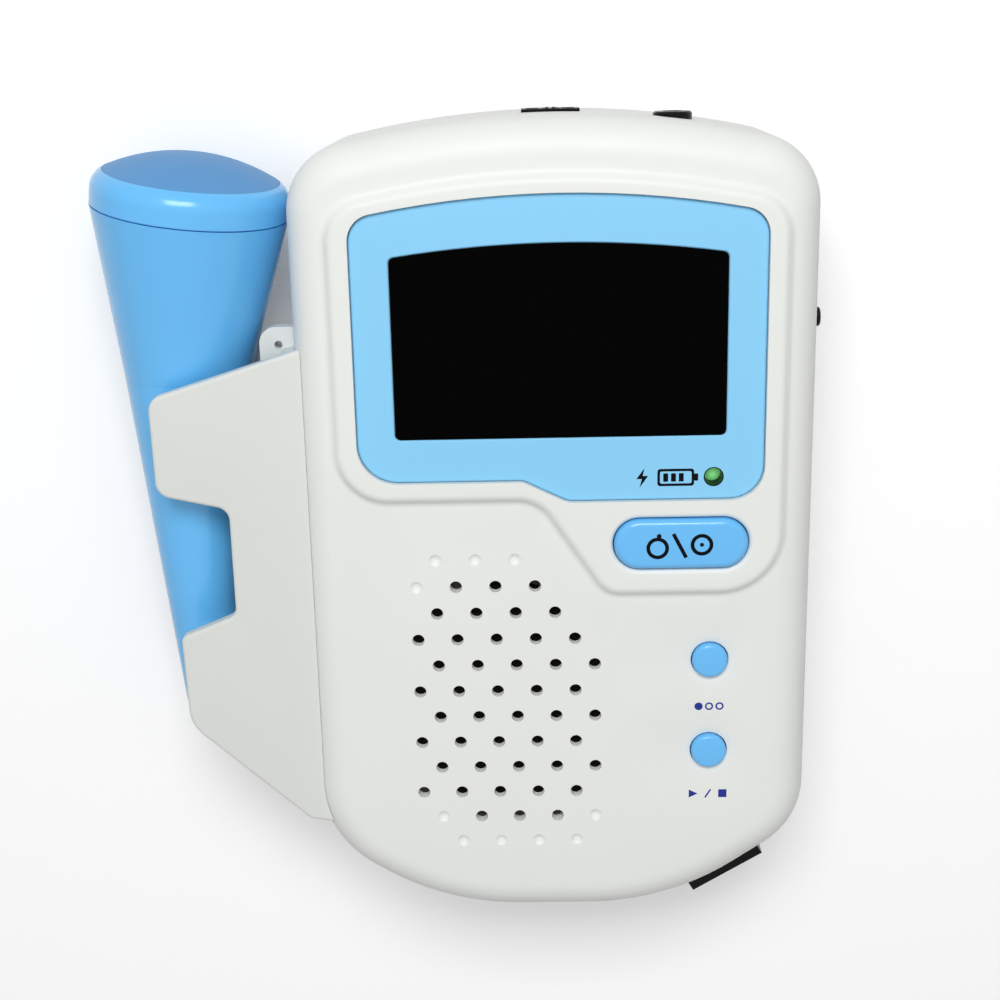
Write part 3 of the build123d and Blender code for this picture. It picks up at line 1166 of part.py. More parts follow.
# ---- Screws ----
def case_screws():
    """Cross-head screws that hold the two shells together, sunk in the back."""
    screws = []
    for x, y in CASE_SCREWS:
        head_bottom = SCREW_SEAT - SCREW_HEAD_HEIGHT
        screw = post(SCREW_HEAD_RADIUS, head_bottom, SCREW_SEAT)
        screw += post(SCREW_RADIUS, SCREW_SEAT - CUT, SCREW_SEAT + SCREW_LENGTH)
        screw -= Pos(0, 0, head_bottom) * Box(SCREW_CROSS_LENGTH, SCREW_CROSS_WIDTH, 2 * SCREW_CROSS_DEPTH)
        screw -= Pos(0, 0, head_bottom) * Box(SCREW_CROSS_WIDTH, SCREW_CROSS_LENGTH, 2 * SCREW_CROSS_DEPTH)
        screws.append(Pos(x, y) * screw)
    return Compound(children=screws)


def holder_screws():
    """Screws through the holder's web into the rear shell's bosses."""
    screws = []
    for y in HOLDER_SCREWS_Y:
        screw = holder_rod(SCREW_HEAD_RADIUS, WEB_LEFT - SCREW_HEAD_HEIGHT, WEB_LEFT, y)
        screws.append(screw + holder_rod(SCREW_RADIUS, WEB_LEFT - CUT, WEB_LEFT + HOLDER_SCREW_LENGTH, y))
    return Compound(children=screws)


# ---- Probe, built about its own axis from the tail up ----
def probe_place():
    """Place of the probe's tail: Z runs up the handle, X points where the head leans."""
    lean, turn = radians(PROBE_LEAN), radians(HEAD_TURN)
    axis = (sin(lean), cos(lean), 0)
    across = (cos(turn) * cos(lean), -cos(turn) * sin(lean), sin(turn))
    return Plane(origin=(PROBE_X, PROBE_TAIL_Y, PROBE_Z), x_dir=across, z_dir=axis).location


def head_place(grow=0.0):
    """Place of the head's lower edge, offset and tilted on the handle's axis."""
    return Pos(HEAD_OFFSET, 0, HANDLE_LENGTH + NECK_LENGTH) * Rot(0, HEAD_TILT, 0) * Pos(0, 0, grow)


def handle_cone(grow=0.0):
    """Conical handle, grown or shrunk all round."""
    place = Pos(0, 0, HANDLE_LENGTH / 2)
    return place * Cone(HANDLE_TAIL_RADIUS + grow, HANDLE_NECK_RADIUS + grow, HANDLE_LENGTH)


def neck_loft(grow=0.0):
    """Oblique neck from the handle to the head, grown or shrunk all round."""
    lower = Pos(0, 0, HANDLE_LENGTH) * Circle(HANDLE_NECK_RADIUS + grow)
    return loft([lower, head_place() * Circle(HEAD_RADIUS + grow)], ruled=True)


def probe_handle():
    """Hollow handle, closed and rounded at the tail, with a bore for the gland."""
    shell = fillet(handle_cone().faces().sort_by(Axis.Z)[0].edges(), HANDLE_TAIL_EDGE)
    hollow = handle_cone(-PROBE_WALL) - post(HANDLE_NECK_RADIUS, -CUT, GLAND_LENGTH - GLAND_STANDOUT)
    shell -= hollow
    shell -= post(GLAND_RADIUS, -CUT, GLAND_LENGTH)
    return probe_place() * shell


def probe_neck():
    """Hollow neck between the handle and the head."""
    return probe_place() * (neck_loft() - neck_loft(-PROBE_WALL))


def probe_head():
    """Ring that carries the face, with a rounded rim above the seam."""
    inner = FACE_RADIUS - FACE_LEDGE_WIDTH
    seat = FACE_RADIUS + RUNNING_GAP
    bore = HEAD_RADIUS - PROBE_WALL
    ledge = HEAD_HEIGHT - FACE_THICKNESS
    shoulder = HEAD_HEIGHT - HEAD_SHOULDER
    edges = [
        Polyline((bore, SEAM_GAP), (HEAD_RADIUS - SEAM_GAP, SEAM_GAP), (HEAD_RADIUS, 2 * SEAM_GAP),
                 (HEAD_RADIUS, shoulder)),
        TangentArc((HEAD_RADIUS, shoulder), (seat, HEAD_HEIGHT), tangent=(0, 1)),
        Polyline((seat, HEAD_HEIGHT), (seat, ledge), (inner, ledge),
                 (inner, ledge - FACE_LEDGE_THICKNESS), (bore, ledge - FACE_LEDGE_THICKNESS),
                 (bore, SEAM_GAP)),
    ]
    ring = revolve(Plane.XZ * make_face(edges), Axis.Z)
    return probe_place() * head_place() * ring


def probe_face():
    """Domed face that is laid on the skin. It carries on the curve of the rim round it."""
    ledge = HEAD_HEIGHT - FACE_THICKNESS
    edges = [
        Polyline((0, HEAD_HEIGHT + FACE_DOME), (0, ledge), (FACE_RADIUS, ledge),
                 (FACE_RADIUS, HEAD_HEIGHT)),
        dome_arc(FACE_RADIUS, HEAD_HEIGHT, FACE_DOME),
    ]
    return probe_place() * head_place() * revolve(Plane.XZ * make_face(edges), Axis.Z)


def probe_crystals():
    """Sending and receiving crystals, two half discs behind the face."""
    top = HEAD_HEIGHT - FACE_THICKNESS
    disc = post(CRYSTAL_RADIUS, top - CRYSTAL_THICKNESS, top)
    halves = disc - bar((-CRYSTAL_GAP / 2, CRYSTAL_GAP / 2), (-HEAD_RADIUS, HEAD_RADIUS), (0, HEAD_HEIGHT))
    return probe_place() * head_place() * halves


def probe_backing():
    """Damping foam behind the crystals."""
    top = HEAD_HEIGHT - FACE_THICKNESS - CRYSTAL_THICKNESS
    backing = post(BACKING_RADIUS, top - BACKING_THICKNESS, top)
    return probe_place() * head_place() * backing


def probe_board():
    """Narrow preamplifier board along the middle of the handle and neck."""
    board = Pos(0, 0, PROBE_BOARD_START + PROBE_BOARD_LENGTH / 2) * Box(
        PROBE_BOARD_WIDTH, PROBE_BOARD_THICKNESS, PROBE_BOARD_LENGTH)
    return probe_place() * board


def probe_gland():
    """Rubber gland in the tail, with the cable's bore."""
    gland = post(GLAND_RADIUS - RUNNING_GAP, -GLAND_STANDOUT, GLAND_LENGTH - GLAND_STANDOUT)
    gland = fillet(gland.faces().sort_by(Axis.Z)[0].edges(), GLAND_EDGE_RADIUS)
    return probe_place() * (gland - post(GLAND_BORE_RADIUS, -GLAND_STANDOUT - CUT, GLAND_LENGTH))


# ---- Holder ----
def holder_outline():
    """Front view of the holder, with the finger notch in its left edge."""
    return outline([(LEFT - out, PROBE_TAIL_Y + up, radius) for out, up, radius in HOLDER_CORNERS])


def holder_ear():
    """Lug above the holder, beside the case, with a small hole for a lanyard."""
    left = LEFT - EAR_REACH
    right = LEFT + WALL
    bottom, top = (PROBE_TAIL_Y + place for place in EAR_SPAN)
    corners = [
        (left, bottom, FIT_GAP),
        (right, bottom, FIT_GAP),
        (right, top, FIT_GAP),
        (left, top, EAR_CORNER_RADIUS),
    ]
    back = CASE_DEPTH - EAR_BELOW_FRONT
    ear = prism(outline(corners), back, back + EAR_THICKNESS)
    return ear - post(EAR_HOLE_RADIUS, back - CUT, back + EAR_THICKNESS + CUT,
                      left + EAR_HOLE_FROM_SIDE, top - EAR_HOLE_FROM_TOP)


def probe_room():
    """Space that the probe takes in the holder, with its clearance and the way out at its tail."""
    room = handle_cone(PROBE_CLEARANCE) + neck_loft(PROBE_CLEARANCE)
    room += post(HANDLE_TAIL_RADIUS + PROBE_CLEARANCE, -HANDLE_LENGTH, FIT_GAP)
    return probe_place() * room


def probe_holder():
    """C-shaped holder: front and back plates, a web on the case and ribs that cradle the probe."""
    inside = (HOLDER_BACK + HOLDER_PLATE, HOLDER_FRONT - HOLDER_PLATE)
    hollow = bar((4 * LEFT, WEB_LEFT), (BOTTOM, TOP), inside)
    for place in RIB_PLACES:
        middle = PROBE_TAIL_Y + place
        hollow -= bar((5 * LEFT, RIGHT), (middle - RIB_THICKNESS / 2, middle + RIB_THICKNESS / 2), inside)
    holder = prism(holder_outline(), HOLDER_BACK, HOLDER_FRONT)
    levels = holder.faces().sort_by(Axis.Z)
    holder = fillet(levels[0].edges() + levels[-1].edges(), HOLDER_EDGE) - hollow
    holder += holder_ear()
    for y in HOLDER_SCREWS_Y:
        holder -= holder_rod(SCREW_RADIUS + RUNNING_GAP, WEB_LEFT - CUT, LEFT + CUT, y)
    return holder - probe_room() - case_block(-FIT_GAP)


NODES = {
    "front_shell": front_shell,
    "rear_shell": rear_shell,
    "front_panel": front_panel,
    "display_window": display_window,
    "display_gasket": display_gasket,
    "lcd_module": lcd_module,
    "lcd_header": lcd_header,
    "main_board": main_board,
    "board_components": board_components,
    "board_screws": board_screws,
    "tact_switches": tact_switches,
    "power_button": power_button,
    "power_plunger": lambda: plunger(POWER_X, POWER_Y),
    "mode_button": lambda: round_button(MODE_Y),
    "mode_plunger": lambda: plunger(ROUND_X, MODE_Y),
    "start_button": lambda: round_button(START_Y),
    "start_plunger": lambda: plunger(ROUND_X, START_Y),
    "charge_light": charge_light,
    "light_sleeve": light_sleeve,
    "speaker_cloth": speaker_cloth,
    "speaker_gasket": speaker_gasket,
    "speaker_frame": speaker_frame,
    "speaker_cone": speaker_cone,
    "speaker_magnet": speaker_magnet,
    "battery_cells": battery_cells,
    "battery_contacts": battery_contacts,
    "battery_door": battery_door,
    "volume_wheel": volume_wheel,
    "volume_pot": volume_pot,
    "volume_bezel": volume_bezel,
    "headphone_jack": headphone_jack,
    "jack_collar": jack_collar,
    "charging_socket": charging_socket,
    "probe_socket": probe_socket,
    "socket_liner": socket_liner,
    "socket_contacts": socket_contacts,
    "case_screws": case_screws,
    "holder_screws": holder_screws,
    "probe_holder": probe_holder,
    "probe_handle": probe_handle,
    "probe_neck": probe_neck,
    "probe_head": probe_head,
    "probe_face": probe_face,
    "probe_crystals": probe_crystals,
    "probe_backing": probe_backing,
    "probe_board": probe_board,
    "probe_gland": probe_gland,
}

os.makedirs("parts", exist_ok=True)
for name, build in NODES.items():
    export_step(build(), f"parts/{name}.step")
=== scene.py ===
# Looks of a hand-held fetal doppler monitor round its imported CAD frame. Metres, +Z out of the front.
from math import atan2, cos, pi, radians, sin

import bmesh
import bpy
from mathutils import Matrix, Vector
from mathutils.bvhtree import BVHTree

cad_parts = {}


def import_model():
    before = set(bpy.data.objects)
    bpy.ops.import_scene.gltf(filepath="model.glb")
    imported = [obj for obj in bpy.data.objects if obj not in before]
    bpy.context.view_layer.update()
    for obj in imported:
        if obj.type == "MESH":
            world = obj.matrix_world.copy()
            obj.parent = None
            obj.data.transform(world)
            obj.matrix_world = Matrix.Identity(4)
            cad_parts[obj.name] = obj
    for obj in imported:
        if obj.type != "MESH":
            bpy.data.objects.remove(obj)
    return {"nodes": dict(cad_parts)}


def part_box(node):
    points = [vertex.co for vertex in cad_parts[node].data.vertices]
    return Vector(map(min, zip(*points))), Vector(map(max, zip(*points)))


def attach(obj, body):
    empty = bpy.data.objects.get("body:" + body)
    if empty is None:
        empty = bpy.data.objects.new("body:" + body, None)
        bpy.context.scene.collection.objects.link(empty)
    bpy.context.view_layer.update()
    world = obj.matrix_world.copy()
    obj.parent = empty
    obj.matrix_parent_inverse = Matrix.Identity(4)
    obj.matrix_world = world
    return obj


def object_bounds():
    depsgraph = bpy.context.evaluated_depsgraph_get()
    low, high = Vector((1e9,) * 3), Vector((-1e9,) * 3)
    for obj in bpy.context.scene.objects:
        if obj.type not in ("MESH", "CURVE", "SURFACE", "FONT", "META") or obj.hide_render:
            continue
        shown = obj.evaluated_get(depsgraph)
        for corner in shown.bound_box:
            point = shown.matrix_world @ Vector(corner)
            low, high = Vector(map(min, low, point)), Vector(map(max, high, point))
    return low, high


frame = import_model()
CAD_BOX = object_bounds()
NODES = frame["nodes"]
MM = 0.001

# ---- Finishes ----
EDGE_RADIUS = 0.12       # how far edges look rounded and rubbed, in mm
# Noise in waves per metre
FLOW_SCALE = 38.0        # slow drift of colour in moulded plastic
SMUDGE_SCALE = 90.0      # drift of its gloss
RUB_SCALE = 420.0        # broken wear along its edges
DRAW_SCALE = 900.0       # draw lines in metal, closer along Z by the factor below
DRAW_STRETCH = 12.0
DULL_SCALE = 160.0       # dull patches in metal
INK_SCALE = 2200.0       # uneven cover of printed ink
# Roughness of plastic against its mean, where it is glossiest and where it is dullest
GLOSSIEST = 0.88
DULLEST = 1.14
RUB_POLISH = 0.06        # how much less rough a rubbed edge is
CLOTH_PITCH = 0.22       # from thread to thread, in mm
SMOOTH_ANGLE = 24        # edges that turn less are shaded smooth, in degrees
MERGE_DISTANCE = 0.0015  # between doubled points of a CAD mesh, in mm

# ---- Printed marks, in mm. Places are from the middle of the button or lamp beside them ----
INK_THICKNESS = 0.02
INK_SINK = 0.004
POWER_STROKE = 0.66
POWER_RING_RADIUS = 1.66
OFF_RING = (-4.19, -0.52)
OFF_DOT = (-3.94, 1.70)
OFF_DOT_RADIUS = 0.42
ON_RING = (3.56, 0.02)
ON_DOT_RADIUS = 0.36
POWER_SLASH = ((-1.44, 2.09), (0.82, -2.30))
# Boxes of the battery sign: width, height and corner radius
BATTERY_BODY = (6.4, 3.1, 0.5)
BATTERY_HOLLOW = (5.5, 2.2, 0.3)
BATTERY_TIP = (0.7, 1.3, 0.15)
BATTERY_BAR = (0.85, 1.5, 0.1)
BATTERY_PLACE = -6.6
TIP_PLACE = 3.55         # from the battery's middle, as the bars are
FIRST_BAR_PLACE = -1.75
BAR_PITCH = 1.35
BAR_COUNT = 3
BOLT_PLACE = -12.4
# Outline of the bolt round its own middle
BOLT = [(0.35, 1.75), (-1.05, -0.2), (-0.1, -0.2), (-0.5, -1.75), (1.0, 0.35), (0.05, 0.35)]
MODE_MARK_DROP = 9.1
DOT_PITCH = 1.9
FULL_DOT_RADIUS = 0.75
OPEN_DOT_RADIUS = 0.6
THIN_STROKE = 0.3
START_MARK_DROP = 8.8
SIGN_HALF = 0.8          # half the height of the start and stop signs
START_SIGN = (-3.5, -1.9)  # back and tip of the triangle
SLASH_HALF_RUN = 0.5
STOP_SIGN_PLACE = 2.7
STOP_SIGN_WIDTH = 1.536
STOP_SIGN_CORNER = 0.1

# ---- Battery cells, in mm ----
CELL_COUNT = 3
CELL_RADIUS = 7.25
BAND_WIDTH = 7.0
BAND_FROM_END = 2.2
BAND_THICKNESS = 0.06
BAND_SINK = 0.01

# ---- Mesh detail ----
CIRCLE_POINTS = 48
CORNER_STEPS = 6
BAND_POINTS = 64

# ---- Floor, light and camera. Places and sizes are in metres ----
FLOOR_HALF = 6.0
FLOOR_DROP = 0.0001      # how far the floor lies under the object
FLOOR_BOUNCE = 0.55      # share of the light that the floor throws back on the object
FLOOR_WHITE = 0.95       # the same share where the floor is seen
FLOOR_GLOW = 0.16        # what it adds by itself where it is seen
FIBRE_SCALE = 6.0        # faint unevenness of its white, in waves per metre
SKY_HORIZON = 0.12       # strength of the fill light from the side
SKY_OVERHEAD = 0.88      # and from above
KEY_PLACE = (-0.03, 0.44, 0.60)
KEY_AIM = (0, 0, 0.03)
KEY_SIZE = (0.35, 0.25)
KEY_POWER = 2.8          # in watts
CAMERA_PLACE = (-0.003590, 0.086755, 0.304937)
CAMERA_ROLL = 1.326      # turn about Z, in degrees
CAMERA_TILT = 16.198     # turn about X
CAMERA_YAW = -1.345      # turn about Y
CAMERA_NEAR = 0.01       # nothing nearer than this is drawn
SENSOR_WIDTH = 36.0      # in mm, like the lens
LENS = 57.6
WHITE = (1, 1, 1, 1)


# ---- Node trees ----
def srgb(red, green, blue):
    """Linear colour of an sRGB triple from 0 to 255."""
    def linear(value):
        share = value / 255
        return share / 12.92 if share <= 0.04045 else ((share + 0.055) / 1.055) ** 2.4
    return (linear(red), linear(green), linear(blue), 1.0)


def shifted(colour, factor, offset=0.0):
    """Lighter or darker kin of a colour."""
    return tuple(min(1.0, channel * factor + offset) for channel in colour[:3]) + (1.0,)


class Tree:
    """Short way to add and join shader nodes."""

    # Sockets of the Mix node when it mixes colours
    MIX_FIRST = 6
    MIX_SECOND = 7
    MIX_RESULT = 2
    # Cosine of the turn that counts as none, and as a full edge
    FLAT_COSINE = 0.995
    EDGE_COSINE = 0.80

    def __init__(self, owner):
        self.tree = owner.node_tree
        self.tree.nodes.clear()

    def add(self, kind, inputs=None, **settings):
        """Adds a node. inputs holds a value or a socket for each input's name."""
        node = self.tree.nodes.new(kind)
        for name, value in settings.items():
            setattr(node, name, value)
        for name, value in (inputs or {}).items():
            self.put(node.inputs[name], value)
        return node

    def put(self, socket, value):
        """Joins a socket to another one, or sets its value."""
        if isinstance(value, bpy.types.NodeSocket):
            self.tree.links.new(value, socket)
        else:
            socket.default_value = value

    def place(self):
        """Place in the part's own frame, in metres."""
        return self.add("ShaderNodeTexCoord").outputs["Object"]

    def stretched(self, x, y, z):
        """Place with each axis scaled, for grain that runs one way."""
        return self.add("ShaderNodeMapping", {"Vector": self.place(), "Scale": (x, y, z)}).outputs[0]

    def axis(self, name):
        """One coordinate of the place, in metres."""
        return self.add("ShaderNodeSeparateXYZ", {"Vector": self.place()}).outputs[name]

    def noise(self, scale, detail=3.0, roughness=0.5, vector=None):
        """Noise over the place, or over another vector."""
        inputs = {"Vector": vector or self.place(), "Scale": scale, "Detail": detail,
                  "Roughness": roughness}
        return self.add("ShaderNodeTexNoise", inputs).outputs["Fac"]

    def span(self, value, low, high, to_low, to_high):
        """Value moved from one range to another, and held inside it."""
        inputs = {"Value": value, "From Min": low, "From Max": high, "To Min": to_low, "To Max": to_high}
        return self.add("ShaderNodeMapRange", inputs).outputs["Result"]

    def mix(self, share, first, second, blend="MIX"):
        """Colour from the first to the second, by a share."""
        node = self.add("ShaderNodeMix", {"Factor": share}, data_type="RGBA", blend_type=blend)
        self.put(node.inputs[self.MIX_FIRST], first)
        self.put(node.inputs[self.MIX_SECOND], second)
        return node.outputs[self.MIX_RESULT]

    def grey(self, value):
        """Colour with the same value in each channel."""
        channels = {"Red": value, "Green": value, "Blue": value}
        return self.add("ShaderNodeCombineColor", channels).outputs[0]

    def math(self, operation, first, second=0.0):
        node = self.add("ShaderNodeMath", operation=operation)
        self.put(node.inputs[0], first)
        self.put(node.inputs[1], second)
        return node.outputs[0]

    def bump(self, height, strength, distance, normal=None):
        """Normal that follows a height, distance in mm."""
        inputs = {"Height": height, "Strength": strength, "Distance": distance * MM}
        if normal is not None:
            inputs["Normal"] = normal
        return self.add("ShaderNodeBump", inputs).outputs["Normal"]

    def soft_normal(self):
        """Normal with the edges rounded."""
        return self.add("ShaderNodeBevel", {"Radius": EDGE_RADIUS * MM}, samples=4).outputs[0]

    def edges(self):
        """How strongly the surface turns near by: 0 on a flat, towards 1 on an edge."""
        turn = self.add("ShaderNodeVectorMath", operation="DOT_PRODUCT")
        self.put(turn.inputs[0], self.soft_normal())
        self.put(turn.inputs[1], self.add("ShaderNodeNewGeometry").outputs["Normal"])
        return self.span(turn.outputs["Value"], self.FLAT_COSINE, self.EDGE_COSINE, 0.0, 1.0)

    def seen(self):
        """1 for a ray from the eye, a reflection or a clear body, and 0 for light on its way."""
        path = self.add("ShaderNodeLightPath").outputs
        mirrored = self.math("MAXIMUM", path["Is Glossy Ray"], path["Is Transmission Ray"])
        return self.math("MAXIMUM", path["Is Camera Ray"], mirrored)

    def surface(self, inputs):
        """Principled surface with the given inputs."""
        shader = self.add("ShaderNodeBsdfPrincipled", inputs)
        self.add("ShaderNodeOutputMaterial", {"Surface": shader.outputs[0]})


def new_material(name):
    material = bpy.data.materials.new(name)
    material.use_nodes = True
    return material, Tree(material)


# ---- Materials ----
def plastic(name, colour, roughness, grain, grain_size, variation, wear, specular=0.5, coat=0.0,
            glow=0.0):
    """Moulded plastic: fine spark-eroded grain, slight flow in the colour, rubbed edges."""
    material, tree = new_material(name)
    shade = tree.span(tree.noise(FLOW_SCALE, 4.0, 0.55), 0.2, 0.8, 1 - variation, 1 + variation)
    tone = tree.mix(1.0, colour, tree.grey(shade), "MULTIPLY")
    patches = tree.span(tree.noise(RUB_SCALE, 2.0), 0.40, 0.70, 0.0, 1.0)
    rubbed = tree.math("MULTIPLY", tree.edges(), tree.math("MULTIPLY", patches, wear))
    smudge = tree.noise(SMUDGE_SCALE, 5.0, 0.6)
    gloss = tree.span(smudge, 0.25, 0.75, roughness * GLOSSIEST, roughness * DULLEST)
    fine = tree.noise(1.0 / (grain_size * MM), 2.0, 0.6)
    tree.surface({
        "Base Color": tree.mix(rubbed, tone, shifted(colour, 1.10, 0.015)),
        "Roughness": tree.math("SUBTRACT", gloss, tree.math("MULTIPLY", rubbed, RUB_POLISH)),
        "Normal": tree.bump(fine, grain, grain_size * 0.25, tree.soft_normal()),
        "Specular IOR Level": specular,
        "Coat Weight": coat,
        "Coat Roughness": 0.10,
        "Emission Color": colour,
        "Emission Strength": glow,
    })
    return material


def metal(name, colour, roughness):
    """Plated or turned metal with fine draw lines and dull patches."""
    material, tree = new_material(name)
    lines = tree.noise(DRAW_SCALE, 3.0, 0.6, tree.stretched(1.0, 1.0, DRAW_STRETCH))
    dull = tree.span(tree.noise(DULL_SCALE, 4.0), 0.3, 0.75, 0.85, 1.3)
    tree.surface({
        "Base Color": tree.mix(tree.span(lines, 0.3, 0.7, 0.0, 0.35), colour, shifted(colour, 0.72)),
        "Metallic": 1.0,
        "Roughness": tree.math("MULTIPLY", dull, roughness),
        "Normal": tree.bump(lines, 0.08, 0.02),
    })
    return material


def woven(name, colour, pitch):
    """Plain weave: two sets of threads, each a row of rounded bands."""
    material, tree = new_material(name)
    bands = []
    for axis in ("X", "Y"):
        wave = tree.math("SINE", tree.math("MULTIPLY", tree.axis(axis), pi / (pitch * MM)))
        bands.append(tree.math("ABSOLUTE", wave))
    weave = tree.math("MAXIMUM", *bands)
    tree.surface({
        "Base Color": tree.mix(tree.span(weave, 0.6, 1.0, 0.0, 1.0), colour, shifted(colour, 2.2, 0.004)),
        "Roughness": 0.9,
        "Normal": tree.bump(weave, 0.6, pitch * 0.3),
        "Specular IOR Level": 0.05,
    })
    return material


def ink(name, colour):
    """Pad-printed ink: slightly uneven and a little duller than the plastic under it."""
    material, tree = new_material(name)
    patches = tree.noise(INK_SCALE, 3.0, 0.6)
    thin = tree.span(patches, 0.5, 0.8, 0.0, 0.5)
    tree.surface({
        "Base Color": tree.mix(thin, colour, shifted(colour, 1.3, 0.003)),
        "Roughness": tree.span(patches, 0.3, 0.7, 0.42, 0.58),
        "Normal": tree.bump(patches, 0.08, 0.01),
        "Specular IOR Level": 0.08,
    })
    return material


# For plastic: name, colour, roughness, grain, grain size in mm, variation of the colour, wear
SLOT_MATERIALS = {
    "white_shell": plastic("shell_plastic", srgb(238, 240, 236), 0.48, 0.05, 0.30, 0.010, 0.20,
                           specular=0.4),
    "holder_white": plastic("holder_plastic", srgb(224, 226, 222), 0.45, 0.06, 0.30, 0.012, 0.30),
    "panel_blue": plastic("panel_print", srgb(140, 212, 252), 0.30, 0.03, 0.22, 0.010, 0.6),
    "button_blue": plastic("button_plastic", srgb(106, 194, 255), 0.17, 0.03, 0.22, 0.012, 0.3),
    "probe_blue": plastic("probe_plastic", srgb(104, 194, 255), 0.20, 0.02, 0.25, 0.012, 0.25),
    # The face's matte finish is its own, but its darker, greyer colour is painted shade of the flat face
    # that turns away from the light
    "face_blue": plastic("face_membrane", srgb(98, 158, 214), 0.45, 0.04, 0.20, 0.015, 0.15,
                         specular=0.15),
    "window_black": plastic("window_acrylic", srgb(3, 3, 4), 0.06, 0.003, 0.9, 0.0, 0.05,
                            specular=0.012),
    # The green lamp glows as a lit charge lamp. Its glow is also painted light that lifts the shade of
    # its deep recess
    "led_green": plastic("lamp_epoxy", srgb(112, 200, 118), 0.12, 0.01, 0.2, 0.02, 0.2, coat=0.3,
                         glow=0.5),
    "black_plastic": plastic("black_plastic", srgb(9, 9, 11), 0.22, 0.05, 0.22, 0.05, 0.2,
                             specular=0.12),
    "component_black": plastic("component_resin", srgb(30, 30, 33), 0.45, 0.05, 0.2, 0.05, 0.3),
    "board_green": plastic("board_mask", srgb(28, 92, 52), 0.30, 0.04, 0.5, 0.08, 0.3),
    "lcd_grey": plastic("lcd_glass", srgb(120, 128, 122), 0.12, 0.005, 0.6, 0.02, 0.1),
    "foam": plastic("foam", srgb(40, 40, 43), 0.85, 0.5, 0.35, 0.15, 0.0),
    "cloth_black": woven("speaker_weave", srgb(3, 3, 4), CLOTH_PITCH),
    "paper": plastic("cone_paper", srgb(44, 42, 40), 0.8, 0.4, 0.5, 0.12, 0.2),
    "magnet_dark": metal("magnet_zinc", srgb(120, 120, 124), 0.4),
    "cell_wrap": plastic("cell_wrap", srgb(52, 132, 84), 0.25, 0.02, 0.5, 0.03, 0.3),
    "brass": metal("brass", srgb(214, 186, 116), 0.3),
    "plated": metal("nickel", srgb(196, 196, 194), 0.2),
    "steel": metal("zinc_steel", srgb(186, 188, 190), 0.3),
    "rubber_black": plastic("rubber", srgb(30, 30, 32), 0.6, 0.15, 0.25, 0.06, 0.2),
}
BLACK_INK = ink("black_ink", srgb(4, 4, 5))
NAVY_INK = ink("navy_ink", srgb(44, 58, 148))
WHITE_INK = ink("white_ink", srgb(232, 234, 232))


# ---- Shading of the CAD nodes ----
def smooth_group(angle):
    """Modifier group: drops stored normals, joins doubled points, smooths edges under the angle."""
    group = bpy.data.node_groups.new("smooth_cad", "GeometryNodeTree")
    for direction in ("INPUT", "OUTPUT"):
        group.interface.new_socket("Geometry", in_out=direction, socket_type="NodeSocketGeometry")
    add = group.nodes.new
    link = group.links.new
    start = add("NodeGroupInput")
    end = add("NodeGroupOutput")
    drop = add("GeometryNodeRemoveAttribute")
    drop.inputs["Name"].default_value = "custom_normal"
    merge = add("GeometryNodeMergeByDistance")
    merge.inputs["Distance"].default_value = MERGE_DISTANCE * MM
    turn = add("GeometryNodeInputMeshEdgeAngle")
    sharp = add("FunctionNodeCompare")
    sharp.data_type = "FLOAT"
    sharp.operation = "GREATER_THAN"
    sharp.inputs[1].default_value = angle
    faces = add("GeometryNodeSetShadeSmooth")
    faces.domain = "FACE"
    creases = add("GeometryNodeSetShadeSmooth")
    creases.domain = "EDGE"
    creases.inputs["Shade Smooth"].default_value = False
    link(start.outputs[0], drop.inputs["Geometry"])
    link(drop.outputs[0], merge.inputs["Geometry"])
    link(merge.outputs[0], faces.inputs["Geometry"])
    link(faces.outputs[0], creases.inputs["Geometry"])
    link(turn.outputs["Unsigned Angle"], sharp.inputs[0])
    link(sharp.outputs[0], creases.inputs["Selection"])
    link(creases.outputs[0], end.inputs[0])
    return group


def dress_nodes():
    """Gives each CAD node the finish of its slot and smooth shading."""
    smooth = smooth_group(radians(SMOOTH_ANGLE))
    for node in NODES.values():
        slot_name = node.data.materials[0].name.split(".")[0]
        node.data.materials.clear()
        node.data.materials.append(SLOT_MATERIALS[slot_name])
        node.modifiers.new("smooth", "NODES").node_group = smooth


# ---- Flat shapes, as loops of points in mm ----
def circle(x, y, radius):
    """Points round a circle."""
    angles = [2 * pi * k / CIRCLE_POINTS for k in range(CIRCLE_POINTS)]
    return [(x + radius * cos(angle), y + radius * sin(angle)) for angle in angles]


def ring_shape(x, y, radius, stroke):
    """Outer and inner loop of a drawn circle."""
    return circle(x, y, radius + stroke / 2), circle(x, y, radius - stroke / 2)


def dot_shape(x, y, radius):
    """Filled circle, with no inner loop."""
    return circle(x, y, radius), None


def bar_shape(start, end, width):
    """Straight stroke from one point to another."""
    turn = atan2(end[1] - start[1], end[0] - start[0]) + pi / 2
    side_x = cos(turn) * width / 2
    side_y = sin(turn) * width / 2
    loop = [(start[0] - side_x, start[1] - side_y), (end[0] - side_x, end[1] - side_y),
            (end[0] + side_x, end[1] + side_y), (start[0] + side_x, start[1] + side_y)]
    return loop, None


def rounded_box(x, y, width, height, radius):
    """Rectangle round a middle point, with rounded corners."""
    points = []
    for corner, (right, up) in enumerate(((1, 1), (-1, 1), (-1, -1), (1, -1))):
        middle_x = x + right * (width / 2 - radius)
        middle_y = y + up * (height / 2 - radius)
        for step in range(CORNER_STEPS + 1):
            angle = (corner + step / CORNER_STEPS) * pi / 2
            points.append((middle_x + radius * cos(angle), middle_y + radius * sin(angle)))
    return points


# ---- Printed marks: thin solids that lie on a CAD node ----
def surface_height(node, x, y):
    """Height, in mm, of a node's front surface at a place in mm."""
    mesh = NODES[node].data
    tree = BVHTree.FromPolygons([v.co for v in mesh.vertices], [p.vertices for p in mesh.polygons])
    hit = tree.ray_cast(Vector((x * MM, y * MM, 1.0)), Vector((0, 0, -1)))[0]
    return hit.z / MM


